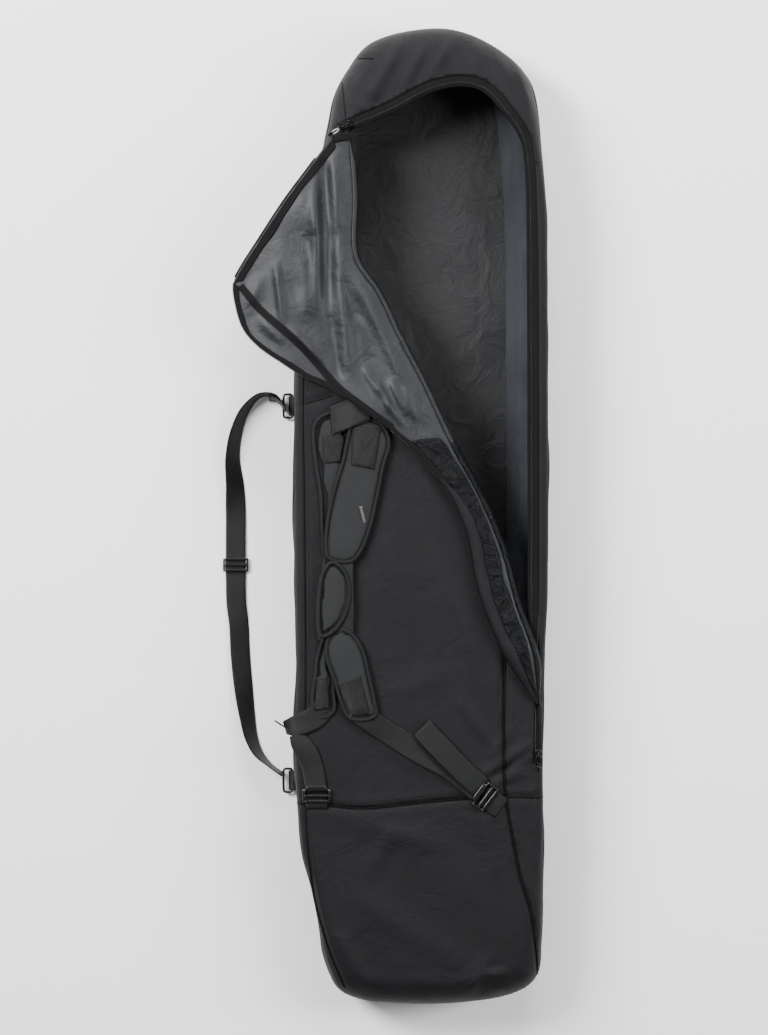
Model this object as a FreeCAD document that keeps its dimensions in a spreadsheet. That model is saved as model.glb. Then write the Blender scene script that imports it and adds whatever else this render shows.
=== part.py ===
"""Snowboard bag lying on its back with its flap thrown open.

Frame: millimetres, +X to the bag's right, +Y towards the nose, +Z up.
The origin is the middle of the face that the bag lies on.
"""
import FreeCAD, Part
import math
import os

import Sketcher

V = FreeCAD.Vector

DRIVING = {
    "half_width": 212,
    "half_length": 830,
    "depth": 150,
    "skin": 3,
    "foam": 8,
    "lining": 1.2,
    "spacing": 1,
    "flap_rise": 8,
    "webbing_wide": 38,
    "carry_wide": 34,
    "webbing_thick": 2,
    "pad_thick": 8,
    "pad_thin": 4,
    "patch_thick": 1,
    "wrap_thick": 4,
    "tape_wide": 14,
    "tape_thick": 1.5,
    "coil_wide": 5,
    "coil_thick": 2,
    "piping": 4,
    "buckle_thick": 5,
    "slider_long": 24,
    "slider_wide": 12,
    "slider_thick": 5,
    "pull_wide": 7,
    "pull_thick": 1.6,
    "ring_bar": 2.6,
    "ring_rise": 9.5,
}
NOMINAL_HALF_WIDTH = 212
NOMINAL_HALF_LENGTH = 830

doc = FreeCAD.newDocument("snowboard_bag")
sheet = doc.addObject("Spreadsheet::Sheet", "dims")
for row, (alias, number) in enumerate(DRIVING.items(), start=1):
    sheet.set(f"A{row}", alias)
    sheet.set(f"B{row}", str(number))
    sheet.setAlias(f"B{row}", alias)
doc.recompute()


class Dim:
    """A number together with the sheet formula that gives it."""

    def __init__(self, value, text):
        self.value = value
        self.text = text

    def __add__(self, other):
        other = dim(other)
        return Dim(self.value + other.value, f"({self.text} + {other.text})")

    def __sub__(self, other):
        other = dim(other)
        return Dim(self.value - other.value, f"({self.text} - {other.text})")

    def __mul__(self, number):
        return Dim(self.value * number, f"{self.text} * ({number:.6f})")


def dim(item):
    """Turn a plain number or a sheet alias into a Dim."""
    if isinstance(item, Dim):
        return item
    if isinstance(item, str):
        return Dim(float(sheet.get(item)), f"dims.{item}")
    return Dim(float(item), f"({item:.4f})")


def at(x, y, radius=0.0):
    """A plan point: x follows the bag's width and y its length.

    The radius bends the edge that leaves the point: positive turns left.
    """
    across = dim("half_width") * (x / NOMINAL_HALF_WIDTH)
    along = dim("half_length") * (y / NOMINAL_HALF_LENGTH)
    return (across, along, dim(radius))


def xy(point):
    return V(point[0].value, point[1].value, 0)


def arc_centre(start, end, radius):
    """Centre of the arc from start to end: on the left when radius > 0."""
    chord = end - start
    height = math.sqrt(max(radius ** 2 - chord.Length ** 2 / 4, 0.0))
    left = V(-chord.y, chord.x, 0).normalize()
    return (start + end) * 0.5 + left * math.copysign(height, radius)


def edge_directions(point, following):
    """Unit directions in which an edge leaves its start and meets its end."""
    start, end, radius = xy(point), xy(following), point[2].value
    if not radius:
        straight = (end - start).normalize()
        return straight, straight
    centre = arc_centre(start, end, radius)
    turn = math.copysign(1, radius)
    directions = []
    for spoke in (start - centre, end - centre):
        directions.append(V(-spoke.y, spoke.x, 0).normalize() * turn)
    return directions


def offset(path, distance, closed=False):
    """Move a path to its left by a distance, with mitred corners."""
    distance = dim(distance)
    count = len(path)
    edges = []
    for index in range(count if closed else count - 1):
        edges.append(edge_directions(path[index], path[(index + 1) % count]))
    moved = []
    for index, point in enumerate(path):
        before = edges[index - 1][1] if closed or index else None
        after = edges[index][0] if closed or index < count - 1 else None
        before = before or after
        after = after or before
        middle = (before + after).normalize()
        stretch = 1 / max(middle.dot(after), 0.5)
        radius = point[2]
        if radius.value:
            radius = radius - distance
        moved.append((point[0] + distance * (-middle.y * stretch),
                      point[1] + distance * (middle.x * stretch), radius))
    return moved


def reverse(path):
    """The same open path walked the other way."""
    radii = [point[2] for point in path[:-1]]
    turned = []
    for index, point in enumerate(reversed(path)):
        radius = radii[-1 - index] * -1 if index < len(radii) else dim(0)
        turned.append((point[0], point[1], radius))
    return turned


def straight_end(path):
    """Close off a path's last point with a straight edge."""
    last = path[-1]
    return path[:-1] + [(last[0], last[1], dim(0))]


def band(path, left, right):
    """Outline of a strip that runs along a path."""
    right_side = offset(path, dim(right) * -1)
    left_side = offset(path, left)
    return straight_end(right_side) + straight_end(reverse(left_side))


def even_band(path, width):
    return band(path, dim(width) * 0.5, dim(width) * 0.5)


def add_outline(sketch, outline):
    """Draw a closed outline and tie each point of it to the sheet."""
    for index, point in enumerate(outline):
        start = xy(point)
        end = xy(outline[(index + 1) % len(outline)])
        radius = point[2].value
        if radius:
            centre = arc_centre(start, end, radius)
            circle = Part.Circle(centre, V(0, 0, 1), abs(radius))
            ends = (start, end) if radius > 0 else (end, start)
            angles = [math.atan2(p.y - centre.y, p.x - centre.x) for p in ends]
            geometry = Part.ArcOfCircle(circle, *angles)
        else:
            geometry = Part.LineSegment(start, end)
        edge = sketch.addGeometry(geometry)
        first, last = (1, 2) if radius >= 0 else (2, 1)
        tie(sketch, edge, first, point)
        tie(sketch, edge, last, outline[(index + 1) % len(outline)])
        if radius:
            mark = sketch.addConstraint(Sketcher.Constraint("Radius", edge, abs(radius)))
            sign = "" if radius > 0 else "-"
            sketch.setExpression(f"Constraints[{mark}]", f"{sign}({point[2].text})")


def tie(sketch, edge, corner, point):
    for kind, coordinate in (("DistanceX", point[0]), ("DistanceY", point[1])):
        rule = Sketcher.Constraint(kind, -1, 1, edge, corner, coordinate.value)
        mark = sketch.addConstraint(rule)
        sketch.setExpression(f"Constraints[{mark}]", coordinate.text)


def plane_of(body, role):
    for feature in body.Origin.OriginFeatures:
        if feature.Role == role:
            return feature
    raise RuntimeError(f"{body.Label} has no {role}")


parts = []


def plate(label, outline, bottom, thickness, holes=(), role="XY_Plane", seat=None):
    """One sub-part: an outline padded to a thickness above its bottom."""
    body = doc.addObject("PartDesign::Body", label)
    body.Label = label
    sketch = body.newObject("Sketcher::SketchObject", f"{label}_sketch")
    sketch.AttachmentSupport = [(plane_of(body, role), "")]
    sketch.MapMode = "FlatFace"
    for loop in (outline, *holes):
        add_outline(sketch, loop)
    pad = body.newObject("PartDesign::Pad", f"{label}_pad")
    pad.Profile = sketch
    pad.Length = dim(thickness).value
    pad.setExpression("Length", dim(thickness).text)
    if seat:
        body.Placement = seat
    bottom = dim(bottom)
    body.Placement.Base.z = bottom.value
    body.setExpression(".Placement.Base.z", bottom.text)
    parts.append(body)
    return body


def rectangle(centre, along, across, angle=0.0):
    """A rectangle about a plan point, its long side turned by an angle."""
    run = V(math.cos(math.radians(angle)), math.sin(math.radians(angle)), 0)
    side = V(-run.y, run.x, 0)
    corners = []
    for ahead, left in ((1, -1), (1, 1), (-1, 1), (-1, -1)):
        x = centre[0] + dim(along) * (ahead * run.x / 2) + dim(across) * (left * side.x / 2)
        y = centre[1] + dim(along) * (ahead * run.y / 2) + dim(across) * (left * side.y / 2)
        corners.append((x, y, dim(0)))
    return corners


TOP = dim("depth")
UNDER_TOP = TOP - "skin"

# Outline of the bag seen from above, anticlockwise from the lower right.
RIGHT_SIDE = [at(200, -773), at(212, -100), at(210, 515), at(195, 691)]
NOSE = [at(195, 691, 130), at(144, 785, 240), at(15, 829, 230), at(-96, 797, 170), at(-154, 672)]
LEFT_SIDE = [at(-154, 672), at(-212, 300), at(-212, -490), at(-165, -740)]
TAIL = [at(-165, -740, 131), at(-113, -822, 1500), at(144, -822, 50), at(200, -773)]
OUTLINE = RIGHT_SIDE[:-1] + NOSE[:-1] + LEFT_SIDE[:-1] + TAIL[:-1]

# Zip line: over the nose from the upper slider, then down the right side.
ZIP_START = at(-142, 657, -520)
ZIP_LINE = [ZIP_START, at(73, 739, -145), at(193, 590), at(201, 200), at(203, -413)]

# Soft fold where the open flap leaves the front panel, from nose to tail.
FOLD_TOP = at(-121, 626)
FOLD_UPPER = [FOLD_TOP, at(-113, 433), at(-73, 369), at(51, 115), at(133, -57)]
FOLD_SEAM = at(141, -85)
FOLD_END = at(184, -290)

# Rings of the carry strap: each turns on a round bar held in a sewn tab.
RING_AXIS_X = -222
RING_OUTER_X = -238.5
RING_INNER_X = -235
RING_HALF_LONG = 22
RING_WALL = 3.5
RING_THICK = 3
RING_UPPER_Y = 190
RING_LOWER_Y = -458
RING_TAB_HALF_LONG = 18
RING_TAB_INNER_X = -212.3
RING_TAB_OUTER_X = -226.5
RING_TAB_THICK = 8
BAR_CLEARANCE = 0.08

# Air left between two layers of cloth, and over the wall lining.
CLOTH_GAP = 0.3
LINING_HEADROOM = 2.5

# How far sewn parts sit inside the edge that they follow.
FOAM_INSET = 6
HEM = 3
TRIM_INSET = 7

# Flap trims: widths, and thickness as a share of the lining's.
FACING_WIDE = 9
SEAM_TAPE_WIDE = 8
FLAP_COIL_WIDE = 2.5
FLAP_COIL_DROP = 1.2
TRIM_SHARE = 0.7

# Share of the tape's width between the body zip's line and its coil.
COIL_SHARE = 0.7

# Thin parts, as shares of the sheet size that they follow.
THIN_PATCH_SHARE = 0.6
COIL_SHEET_SHARE = 0.5
PIPING_RISE_SHARE = 0.25

# Flap gusset: plan line that it hangs from, and its layers' offsets.
GUSSET_START = at(-142, 657)
GUSSET_CORNER = at(-316, 390)
GUSSET_OUTLINE = [(72, 0), (316, 0), (312, 96), (270, 132), (205, 146), (150, 124), (95, 72)]
GUSSET_COIL_TOP = (315, 14)
GUSSET_DROP = 1.5
GUSSET_LINING_IN = 1.6
GUSSET_COIL_OUT = 1.4

# Heights above the bag's top, and rises above the strap's own underside.
UPPER_STRAP_LIFT = 7
UPPER_HANDLE_RISE = 1
LOWER_HANDLE_RISE = 0.5
WEBBING_LIFT = 2
WEBBING_TAIL_LIFT = 5
GRIP_LIFT = 10.5
ANCHOR_LIFT = 6.4
LABEL_LONG = 28
LABEL_WIDE = 5

# The left webbing narrows on its way down, and its tail stands on edge.
WEBBING_DOWN_WIDE = 34
EDGE_TAIL_DROP = 36
EDGE_TAIL_SHARE = 0.9

# Carry strap's height over the floor, and the zip sliders' clearances.
CARRY_STRAP_LIFT = 2
SLIDER_LIFT = 0.6
PULL_GAP = 0.4

# Buckles, handle and adjuster.
LOCK_LONG = 22
LOCK_WIDE = 46
LOCK_SLOT = 5
GLIDE_X = -320
GLIDE_Y = -73
GLIDE_LONG = 24
GLIDE_MIDDLE = 3
GLIDE_HIGH = 5.4
GLIDE_WINDOW = 3.4
GLIDE_FRAME_EXTRA = 10
GLIDE_WINDOW_EXTRA = 3

CROSS_SEAM_LEFT = at(-212, -482)
SEAM_CORNER = at(141, -482)
TAIL_SEAM = [at(150, -525), at(167, -610), at(192, -725), at(199, -760)]


def make_shell():
    """Back, walls and linings of the hollow bag."""
    plate("back_panel", OUTLINE, 0, "skin")
    foam_outline = offset(OUTLINE, FOAM_INSET, closed=True)
    plate("back_foam", foam_outline, "skin", "foam")
    plate("back_lining", foam_outline, dim("skin") + "foam", "lining")
    wall_height = UNDER_TOP - "skin"
    walls = {"wall_right": RIGHT_SIDE, "wall_nose": NOSE, "wall_left": LEFT_SIDE, "wall_tail": TAIL}
    for label, path in walls.items():
        plate(label, band(path, "skin", 0), "skin", wall_height)
    lining_bottom = dim("skin") + "foam" + "lining"
    outer = offset(OUTLINE, dim("skin") + CLOTH_GAP, closed=True)
    inner = offset(OUTLINE, dim("skin") + CLOTH_GAP + "lining", closed=True)
    lining_height = UNDER_TOP - lining_bottom - LINING_HEADROOM
    plate("wall_lining", outer, lining_bottom, lining_height, holes=[inner])


def make_top():
    """Panels that close the top around the mouth."""
    mouth_end = at(193, 590)
    hood = [at(203.6, 590)] + NOSE + [at(-156, 657), ZIP_START, at(73, 739, -145), mouth_end]
    plate("hood", hood, UNDER_TOP, "skin")
    left_edge = [at(-158, 626), at(-212, 300)]
    panel = [CROSS_SEAM_LEFT, SEAM_CORNER, FOLD_SEAM] + FOLD_UPPER[::-1] + left_edge
    plate("front_panel", panel, UNDER_TOP, "skin")
    right_edge = [at(200, -773), at(206.3, -418), at(186, -418), FOLD_END, FOLD_SEAM]
    plate("gusset_right", [SEAM_CORNER] + TAIL_SEAM + right_edge, UNDER_TOP, "skin")
    tail = [CROSS_SEAM_LEFT, at(-212, -490)] + TAIL + TAIL_SEAM[::-1] + [SEAM_CORNER]
    plate("tail_panel", tail, UNDER_TOP, "skin")
    rim_outside = [at(206.4, -413), at(212, -100), at(210, 515), at(203.6, 588)]
    rim = rim_outside + [at(193, 588), at(201, 200), at(203, -413)]
    plate("side_rim", rim, UNDER_TOP, "skin")


def make_body_zip():
    """Tape and coil sewn round the mouth, just under the top."""
    tape_bottom = UNDER_TOP - "tape_thick"
    plate("zip_tape", band(ZIP_LINE, 0, "tape_wide"), tape_bottom, "tape_thick")
    coil_line = offset(ZIP_LINE, dim("tape_wide") * -COIL_SHARE)
    plate("zip_coil", even_band(coil_line, "coil_wide"), UNDER_TOP, "coil_thick")


def make_pipings():
    """Bound seams that stand up a little from the top."""
    runs = {
        "cross_piping": [at(-196, -482), at(-110, -487), at(10, -483), at(76, -478)],
        "left_piping": [at(-203, 226), at(-203, -300), at(-198, -560)],
        "right_piping": [at(143, -250), at(141, -470), at(150, -530), at(167, -610), at(192, -725)],
    }
    for label, path in runs.items():
        plate(label, even_band(path, "piping"), TOP, dim("piping") * PIPING_RISE_SHARE)


FLAP_UPPER_EDGE = [at(-154, 629), at(-233, 523), at(-309, 411, 26), at(-314, 372, 75)]
FLAP_WIDE_EDGE = [at(-272, 282), at(-203, 236), at(-113, 188), at(-38, 132), at(39, 48)]
FLAP_NARROW_EDGE = [at(82, -39), at(94, -130), at(116, -183), at(168, -279)]


def make_flap():
    """Coated flap: shell below, lining above, and its half of the zip."""
    upper_edge, lower_edge = FLAP_UPPER_EDGE, FLAP_WIDE_EDGE + FLAP_NARROW_EDGE
    outline = upper_edge + lower_edge + [FOLD_END, FOLD_SEAM] + FOLD_UPPER[::-1]
    bottom = TOP + "flap_rise"
    plate("flap_shell", outline, bottom, "lining")
    lining_bottom = bottom + "lining" + CLOTH_GAP
    plate("flap_lining", offset(outline, HEM, closed=True), lining_bottom, "lining")
    trim_bottom = lining_bottom + "lining" + CLOTH_GAP
    trim_thick = dim("lining") * TRIM_SHARE
    corner = len(upper_edge)
    rim_line = offset(upper_edge + lower_edge, TRIM_INSET)
    plate("flap_facing", even_band(rim_line[corner:], FACING_WIDE), trim_bottom, trim_thick)
    seam_tape = even_band(rim_line[:corner], SEAM_TAPE_WIDE)
    plate("flap_seam_tape", seam_tape, trim_bottom, trim_thick)
    coil_path = offset(lower_edge, HEM)
    coil_thick = dim("coil_thick") * COIL_SHEET_SHARE
    coil_outline = even_band(coil_path, FLAP_COIL_WIDE)
    plate("flap_zip_coil", coil_outline, bottom - FLAP_COIL_DROP, coil_thick)


def make_flap_gusset():
    """Gusset along the flap's nose end, hanging outside the bag's left wall."""
    start, end = xy(GUSSET_START), xy(GUSSET_CORNER)
    along = (end - start).normalize()
    inward = V(-along.y, along.x, 0)
    seat = FreeCAD.Placement(start, FreeCAD.Rotation(along, V(0, 0, -1), inward, "ZXY"))
    corners = [(dim(x), dim(y), dim(0)) for x, y in GUSSET_OUTLINE]
    hang = TOP + "flap_rise" - GUSSET_DROP
    plate("flap_gusset_shell", corners, hang, "lining", seat=seat)
    lining_seat = FreeCAD.Placement(start + inward * GUSSET_LINING_IN, seat.Rotation)
    inner = offset(corners, HEM, closed=True)
    plate("flap_gusset_lining", inner, hang, "lining", seat=lining_seat)
    coil_seat = FreeCAD.Placement(start - inward * GUSSET_COIL_OUT, seat.Rotation)
    coil_top = (dim(GUSSET_COIL_TOP[0]), dim(GUSSET_COIL_TOP[1]), dim(0))
    rim = even_band(offset([coil_top] + corners[2:], HEM), FLAP_COIL_WIDE)
    coil_thick = dim("coil_thick") * COIL_SHEET_SHARE
    plate("flap_gusset_coil", rim, hang, coil_thick, seat=coil_seat)


def make_right_strap():
    """Upper shoulder strap: pad, handle webbing, lower pad and webbing."""
    pad_left = [at(-121, 142), at(-130, 96), at(-145, 46), at(-157, -9), at(-159, -62, 14)]
    pad_right = [at(-148, -77), at(-118, -76), at(-104, -62), at(-89, -26), at(-77, 22)]
    pad = pad_left + pad_right + [at(-65, 82), at(-51, 125)]
    rest = TOP + UPPER_STRAP_LIFT
    plate("shoulder_pad_right", pad, rest, "pad_thick")
    pad_top = rest + "pad_thick"
    patch = [at(-116, 139), at(-118, 85), at(-79, 77), at(-66, 129)]
    plate("pad_patch_right", patch, pad_top, "patch_thick")
    label = rectangle(at(-98, 0), LABEL_LONG, LABEL_WIDE, angle=76)
    plate("pad_label", label, pad_top, dim("patch_thick") * THIN_PATCH_SHARE)
    handle = [at(-152, -79), at(-157, -186), at(-114, -190), at(-116, -79)]
    plate("handle_webbing_right", handle, rest + UPPER_HANDLE_RISE, "webbing_thick")
    lower_left = [at(-138, -192), at(-157, -211), at(-157, -234), at(-144, -277), at(-133, -313)]
    lower_right = [at(-118, -338), at(-79, -330), at(-79, -313), at(-89, -267), at(-99, -227)]
    lower = lower_left + lower_right + [at(-115, -203)]
    plate("lower_pad_right", lower, rest, "pad_thick")
    lower_patch = [at(-140, -281), at(-119, -334), at(-85, -328), at(-101, -268)]
    plate("lower_patch_right", lower_patch, pad_top, "patch_thick")
    run = [at(-82, -343), at(-60, -360), at(3, -400), at(44, -424), at(92, -457)]
    webbing = even_band(run, "webbing_wide")
    plate("webbing_right", webbing, TOP + WEBBING_LIFT, "webbing_thick")
    tail = even_band([at(88, -436), at(0, -354)], "webbing_wide")
    plate("webbing_tail_right", tail, TOP + WEBBING_TAIL_LIFT, "webbing_thick")


def make_left_strap():
    """Shoulder strap that lies under the other one."""
    pad_left = [at(-168, 128), at(-180, 122), at(-181, 110), at(-176, 82), at(-169, 34)]
    pad_right = [at(-166, -31), at(-162, -70), at(-137, -70), at(-127, -10), at(-125, 128)]
    rest = TOP + "spacing"
    thin_patch = dim("patch_thick") * THIN_PATCH_SHARE
    plate("shoulder_pad_left", pad_left + pad_right, rest, "pad_thin")
    pad_top = rest + "pad_thin"
    patch = [at(-166, 126), at(-164, 87), at(-135, 89), at(-128, 126)]
    plate("pad_patch_left", patch, pad_top, thin_patch)
    handle = [at(-162, -71), at(-172, -203), at(-152, -203), at(-139, -71)]
    plate("handle_webbing_left", handle, rest + LOWER_HANDLE_RISE, "webbing_thick")
    lower_left = [at(-160, -205), at(-174, -234), at(-178, -267), at(-183, -308), at(-178, -332)]
    lower_right = [at(-152, -330), at(-149, -300), at(-150, -250), at(-153, -212)]
    plate("lower_pad_left", lower_left + lower_right, rest, "pad_thin")
    lower_patch = [at(-176, -270), at(-180, -326), at(-154, -324), at(-158, -268)]
    plate("lower_patch_left", lower_patch, pad_top, thin_patch)
    fold_over = [at(-158, -353), at(-226, -352)]
    plate("webbing_left", even_band(fold_over, "webbing_wide"), rest, "webbing_thick")
    down = [at(-200, -380), at(-190, -402), at(-177, -430), at(-175, -455)]
    plate("webbing_down_left", even_band(down, WEBBING_DOWN_WIDE), rest, "webbing_thick")
    edge_tail = even_band([at(-246, -345), at(-219, -363)], "webbing_thick")
    edge_high = dim("webbing_wide") * EDGE_TAIL_SHARE
    plate("webbing_tail_left", edge_tail, TOP - EDGE_TAIL_DROP, edge_high)


def make_handle_wrap():
    """Leaf-shaped grip that closes over both shoulder straps."""
    left = [at(-152, -80), at(-168, -202)]
    leaf = left + [at(-140, -187), at(-125, -160), at(-119, -127), at(-126, -94)]
    plate("handle_wrap", leaf, TOP + GRIP_LIFT, "wrap_thick")


def make_anchors():
    """Sewn tabs and ladder locks that hold the straps' ends."""
    tab = [at(-152, 170), at(-149, 134), at(-92, 157), at(-104, 165)]
    plate("top_anchor_tab", tab, TOP + ANCHOR_LIFT, "tape_thick")
    lock = at(108, -472)
    ladder_lock("ladder_lock_right", lock, -37)
    run = [at(121, -481), at(139, -494)]
    plate("lock_tab_right", even_band(run, "webbing_wide"), TOP + "spacing", "webbing_thick")
    ladder_lock("ladder_lock_left", at(-176, -469), -90)
    run = [at(-176, -482), at(-176, -489)]
    plate("lock_tab_left", even_band(run, "webbing_wide"), TOP + "spacing", "webbing_thick")
    for label, y in (("ring_tab_upper", RING_UPPER_Y), ("ring_tab_lower", RING_LOWER_Y)):
        low, high = y - RING_TAB_HALF_LONG, y + RING_TAB_HALF_LONG
        outline = [at(RING_TAB_INNER_X, low), at(RING_TAB_INNER_X, high)]
        outline += [at(RING_TAB_OUTER_X, high), at(RING_TAB_OUTER_X, low)]
        tab = plate(label, outline, dim("ring_rise") - RING_TAB_THICK / 2, RING_TAB_THICK)
        hole = dim("ring_bar") + BAR_CLEARANCE
        add_bar("PartDesign::SubtractiveCylinder", tab, y, hole, RING_TAB_THICK / 2)


def add_bar(kind, body, y, radius, height):
    """Add or cut the round bar that the carry strap's ring turns on."""
    length = dim(2 * RING_HALF_LONG)
    bar = body.newObject(kind, f"{body.Label}_bar")
    bar.setExpression("Radius", dim(radius).text)
    bar.setExpression("Height", length.text)
    start = at(RING_AXIS_X, y)
    bar.Placement.Rotation = FreeCAD.Rotation(V(1, 0, 0), -90)
    for axis, number in (("x", start[0]), ("y", start[1] - length * 0.5), ("z", dim(height))):
        setattr(bar.Placement.Base, axis, number.value)
        bar.setExpression(f".Placement.Base.{axis}", number.text)


def ladder_lock(label, centre, angle):
    """A buckle frame with two slots, the strap running at an angle."""
    run = V(math.cos(math.radians(angle)), math.sin(math.radians(angle)), 0)
    slots = []
    for step in (-LOCK_SLOT, LOCK_SLOT):
        middle = (centre[0] + step * run.x, centre[1] + step * run.y)
        slots.append(rectangle(middle, LOCK_SLOT, "webbing_wide", angle))
    frame = rectangle(centre, LOCK_LONG, LOCK_WIDE, angle)
    plate(label, frame, TOP + "spacing", "buckle_thick", holes=slots)


def make_carry_strap():
    """Long strap lying on the ground beside the bag, with its rings."""
    upper = [at(-240, 199), at(-258, 211), at(-290, 196), at(-311, 160), at(-320, 110)]
    lower = [at(-320, -180), at(-311, -239), at(-301, -345), at(-285, -402), at(-256, -434)]
    run = upper + lower + [at(-240, -447)]
    plate("carry_strap", even_band(run, "carry_wide"), CARRY_STRAP_LIFT, "webbing_thick")
    for label, y in (("carry_ring_upper", RING_UPPER_Y), ("carry_ring_lower", RING_LOWER_Y)):
        low, high = y - RING_HALF_LONG, y + RING_HALF_LONG
        inner_low, inner_high = low + RING_WALL, high - RING_WALL
        outside = [at(RING_AXIS_X, high), at(RING_OUTER_X, high), at(RING_OUTER_X, low)]
        arm = [at(RING_AXIS_X, low), at(RING_AXIS_X, inner_low), at(RING_INNER_X, inner_low)]
        inside = [at(RING_INNER_X, inner_high), at(RING_AXIS_X, inner_high)]
        bottom = dim("ring_rise") - RING_THICK / 2
        ring = plate(label, outside + arm + inside, bottom, RING_THICK)
        add_bar("PartDesign::AdditiveCylinder", ring, y, "ring_bar", RING_THICK / 2)


def make_tri_glide():
    """Adjuster round the carry strap, free to slide along it."""
    middle = (dim("half_width") * (GLIDE_X / NOMINAL_HALF_WIDTH), dim(GLIDE_MIDDLE))
    frame = rectangle(middle, dim("carry_wide") + GLIDE_FRAME_EXTRA, GLIDE_HIGH)
    window = rectangle(middle, dim("carry_wide") + GLIDE_WINDOW_EXTRA, GLIDE_WINDOW)
    seat = FreeCAD.Placement(V(0, GLIDE_Y, 0), FreeCAD.Rotation(V(1, 0, 0), 90))
    back = FreeCAD.Placement(V(0, 0, 0), FreeCAD.Rotation(V(1, 0, 0), -90))
    plate("tri_glide", frame, 0, GLIDE_LONG, holes=[window], role="XZ_Plane", seat=seat * back)


def make_sliders():
    """Two zip sliders, each with a pull that turns on the slider's top."""
    rise = TOP + SLIDER_LIFT
    pull_rise = rise + "slider_thick" + PULL_GAP
    long = dim("slider_long")
    sliders = {"upper": (at(-128, 654), 31, 34), "lower": (at(196, -403), 90, 26)}
    for name, (centre, angle, reach) in sliders.items():
        shape = rectangle(centre, long, "slider_wide", angle)
        plate(f"slider_{name}", shape, rise, "slider_thick")
        back = V(-math.cos(math.radians(angle)), -math.sin(math.radians(angle)), 0)
        middle = (centre[0] + dim(reach) * (back.x / 2), centre[1] + dim(reach) * (back.y / 2))
        pull = rectangle(middle, reach, "pull_wide", angle)
        plate(f"pull_{name}", pull, pull_rise, "pull_thick")


make_shell()
make_top()
make_body_zip()
make_pipings()
make_flap()
make_flap_gusset()
make_right_strap()
make_left_strap()
make_handle_wrap()
make_anchors()
make_carry_strap()
make_tri_glide()
make_sliders()

doc.recompute()
for item in doc.Objects:
    if "Invalid" in item.State or "Error" in item.State:
        raise RuntimeError(f"{item.Label}: {item.State}")
for body in parts:
    if body.Shape.isNull() or not body.Shape.isValid():
        raise RuntimeError(f"{body.Label}: bad shape")
os.makedirs("parts", exist_ok=True)
for body in parts:
    body.Shape.exportStep(f"parts/{body.Label}.step")
print(len(parts), "parts written")
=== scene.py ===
"""Looks of a snowboard bag that lies on its back with its flap thrown open.

Plan outlines are in millimetres in the frame's own axes, and meshes are made in metres.
"""
import math

import bmesh
import bpy
import numpy as np
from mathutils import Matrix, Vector
from mathutils.geometry import delaunay_2d_cdt


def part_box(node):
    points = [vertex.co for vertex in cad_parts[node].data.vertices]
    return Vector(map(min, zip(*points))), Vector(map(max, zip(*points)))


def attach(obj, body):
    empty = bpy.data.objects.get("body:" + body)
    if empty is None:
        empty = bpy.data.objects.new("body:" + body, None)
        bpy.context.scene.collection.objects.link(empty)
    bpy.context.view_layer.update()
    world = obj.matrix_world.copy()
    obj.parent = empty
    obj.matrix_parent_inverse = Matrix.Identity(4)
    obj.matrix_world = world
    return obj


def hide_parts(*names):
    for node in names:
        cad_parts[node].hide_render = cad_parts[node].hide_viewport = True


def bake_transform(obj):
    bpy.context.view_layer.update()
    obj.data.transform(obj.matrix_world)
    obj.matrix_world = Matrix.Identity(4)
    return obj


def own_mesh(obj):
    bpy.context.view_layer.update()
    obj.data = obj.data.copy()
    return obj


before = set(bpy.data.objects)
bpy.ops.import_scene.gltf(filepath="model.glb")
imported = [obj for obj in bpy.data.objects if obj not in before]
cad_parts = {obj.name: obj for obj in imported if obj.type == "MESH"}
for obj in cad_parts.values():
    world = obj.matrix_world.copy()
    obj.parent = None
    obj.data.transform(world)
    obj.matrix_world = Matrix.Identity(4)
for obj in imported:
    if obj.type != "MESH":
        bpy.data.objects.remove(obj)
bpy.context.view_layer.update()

MM = 0.001


def bottom_of(node_name):
    """Lowest height of a CAD node, in millimetres."""
    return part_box(node_name)[0].z / MM


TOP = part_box("front_panel")[1].z / MM
FLAP_BOTTOM = bottom_of("flap_shell")
FLOOR_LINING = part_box("back_lining")[1].z / MM
UP = np.array([0.0, 0.0, 1.0])
# Widths of the shoulder webbing and of the carry strap.
WEBBING = 38.0
CARRY = 34.5
# Heights of the ladder locks and of their tabs over the top.
LOCK_RISE = 5.0
TAB_RISE = 1.6
# Steps along the bag's outline and along the flap's two edges.
OUTLINE_STEP = 8.0
FLAP_STEP = 5.0
# Pitch of a zip's coil, and the radius of its wire.
COIL_PITCH = 2.6
COIL_WIRE = 0.55
# The top's drop at its rim, and its edge radius along the sides.
RIM_DROP = 0.5
SIDE_RADIUS = 22

# ---------------------------------------------------------------- plan outlines

BAG = [(15, 829), (77, 821), (144, 785), (180, 746), (196, 691), (204, 605), (210, 515), (212, 339),
       (213, 60), (212, -120), (206, -267), (204, -400), (205, -628), (203, -732), (199, -773), (183, -796),
       (144, -814), (60, -826), (-30, -827), (-100, -821), (-142, -801), (-163, -752), (-172, -701),
       (-184, -630), (-200, -575), (-209, -489), (-214, -420), (-211, -239), (-214, -100), (-214, 186),
       (-210, 300), (-186, 500), (-156, 660), (-147, 711), (-127, 754), (-88, 803)]
ZIP_ARC = [(-146, 652), (-123, 665), (-56, 694), (15, 730), (73, 739), (113, 727), (152, 687), (183, 640),
           (192, 590)]
ZIP_SIDE = [(192, 590), (196, 400), (197, 150), (197, -100), (196, -300), (199, -403)]
FOLD = [(-122, 640), (-115, 540), (-113, 433), (-73, 369), (-38, 296), (-2, 227), (51, 115), (94, 36),
        (133, -57), (159, -152), (186, -229), (197, -320)]
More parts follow.
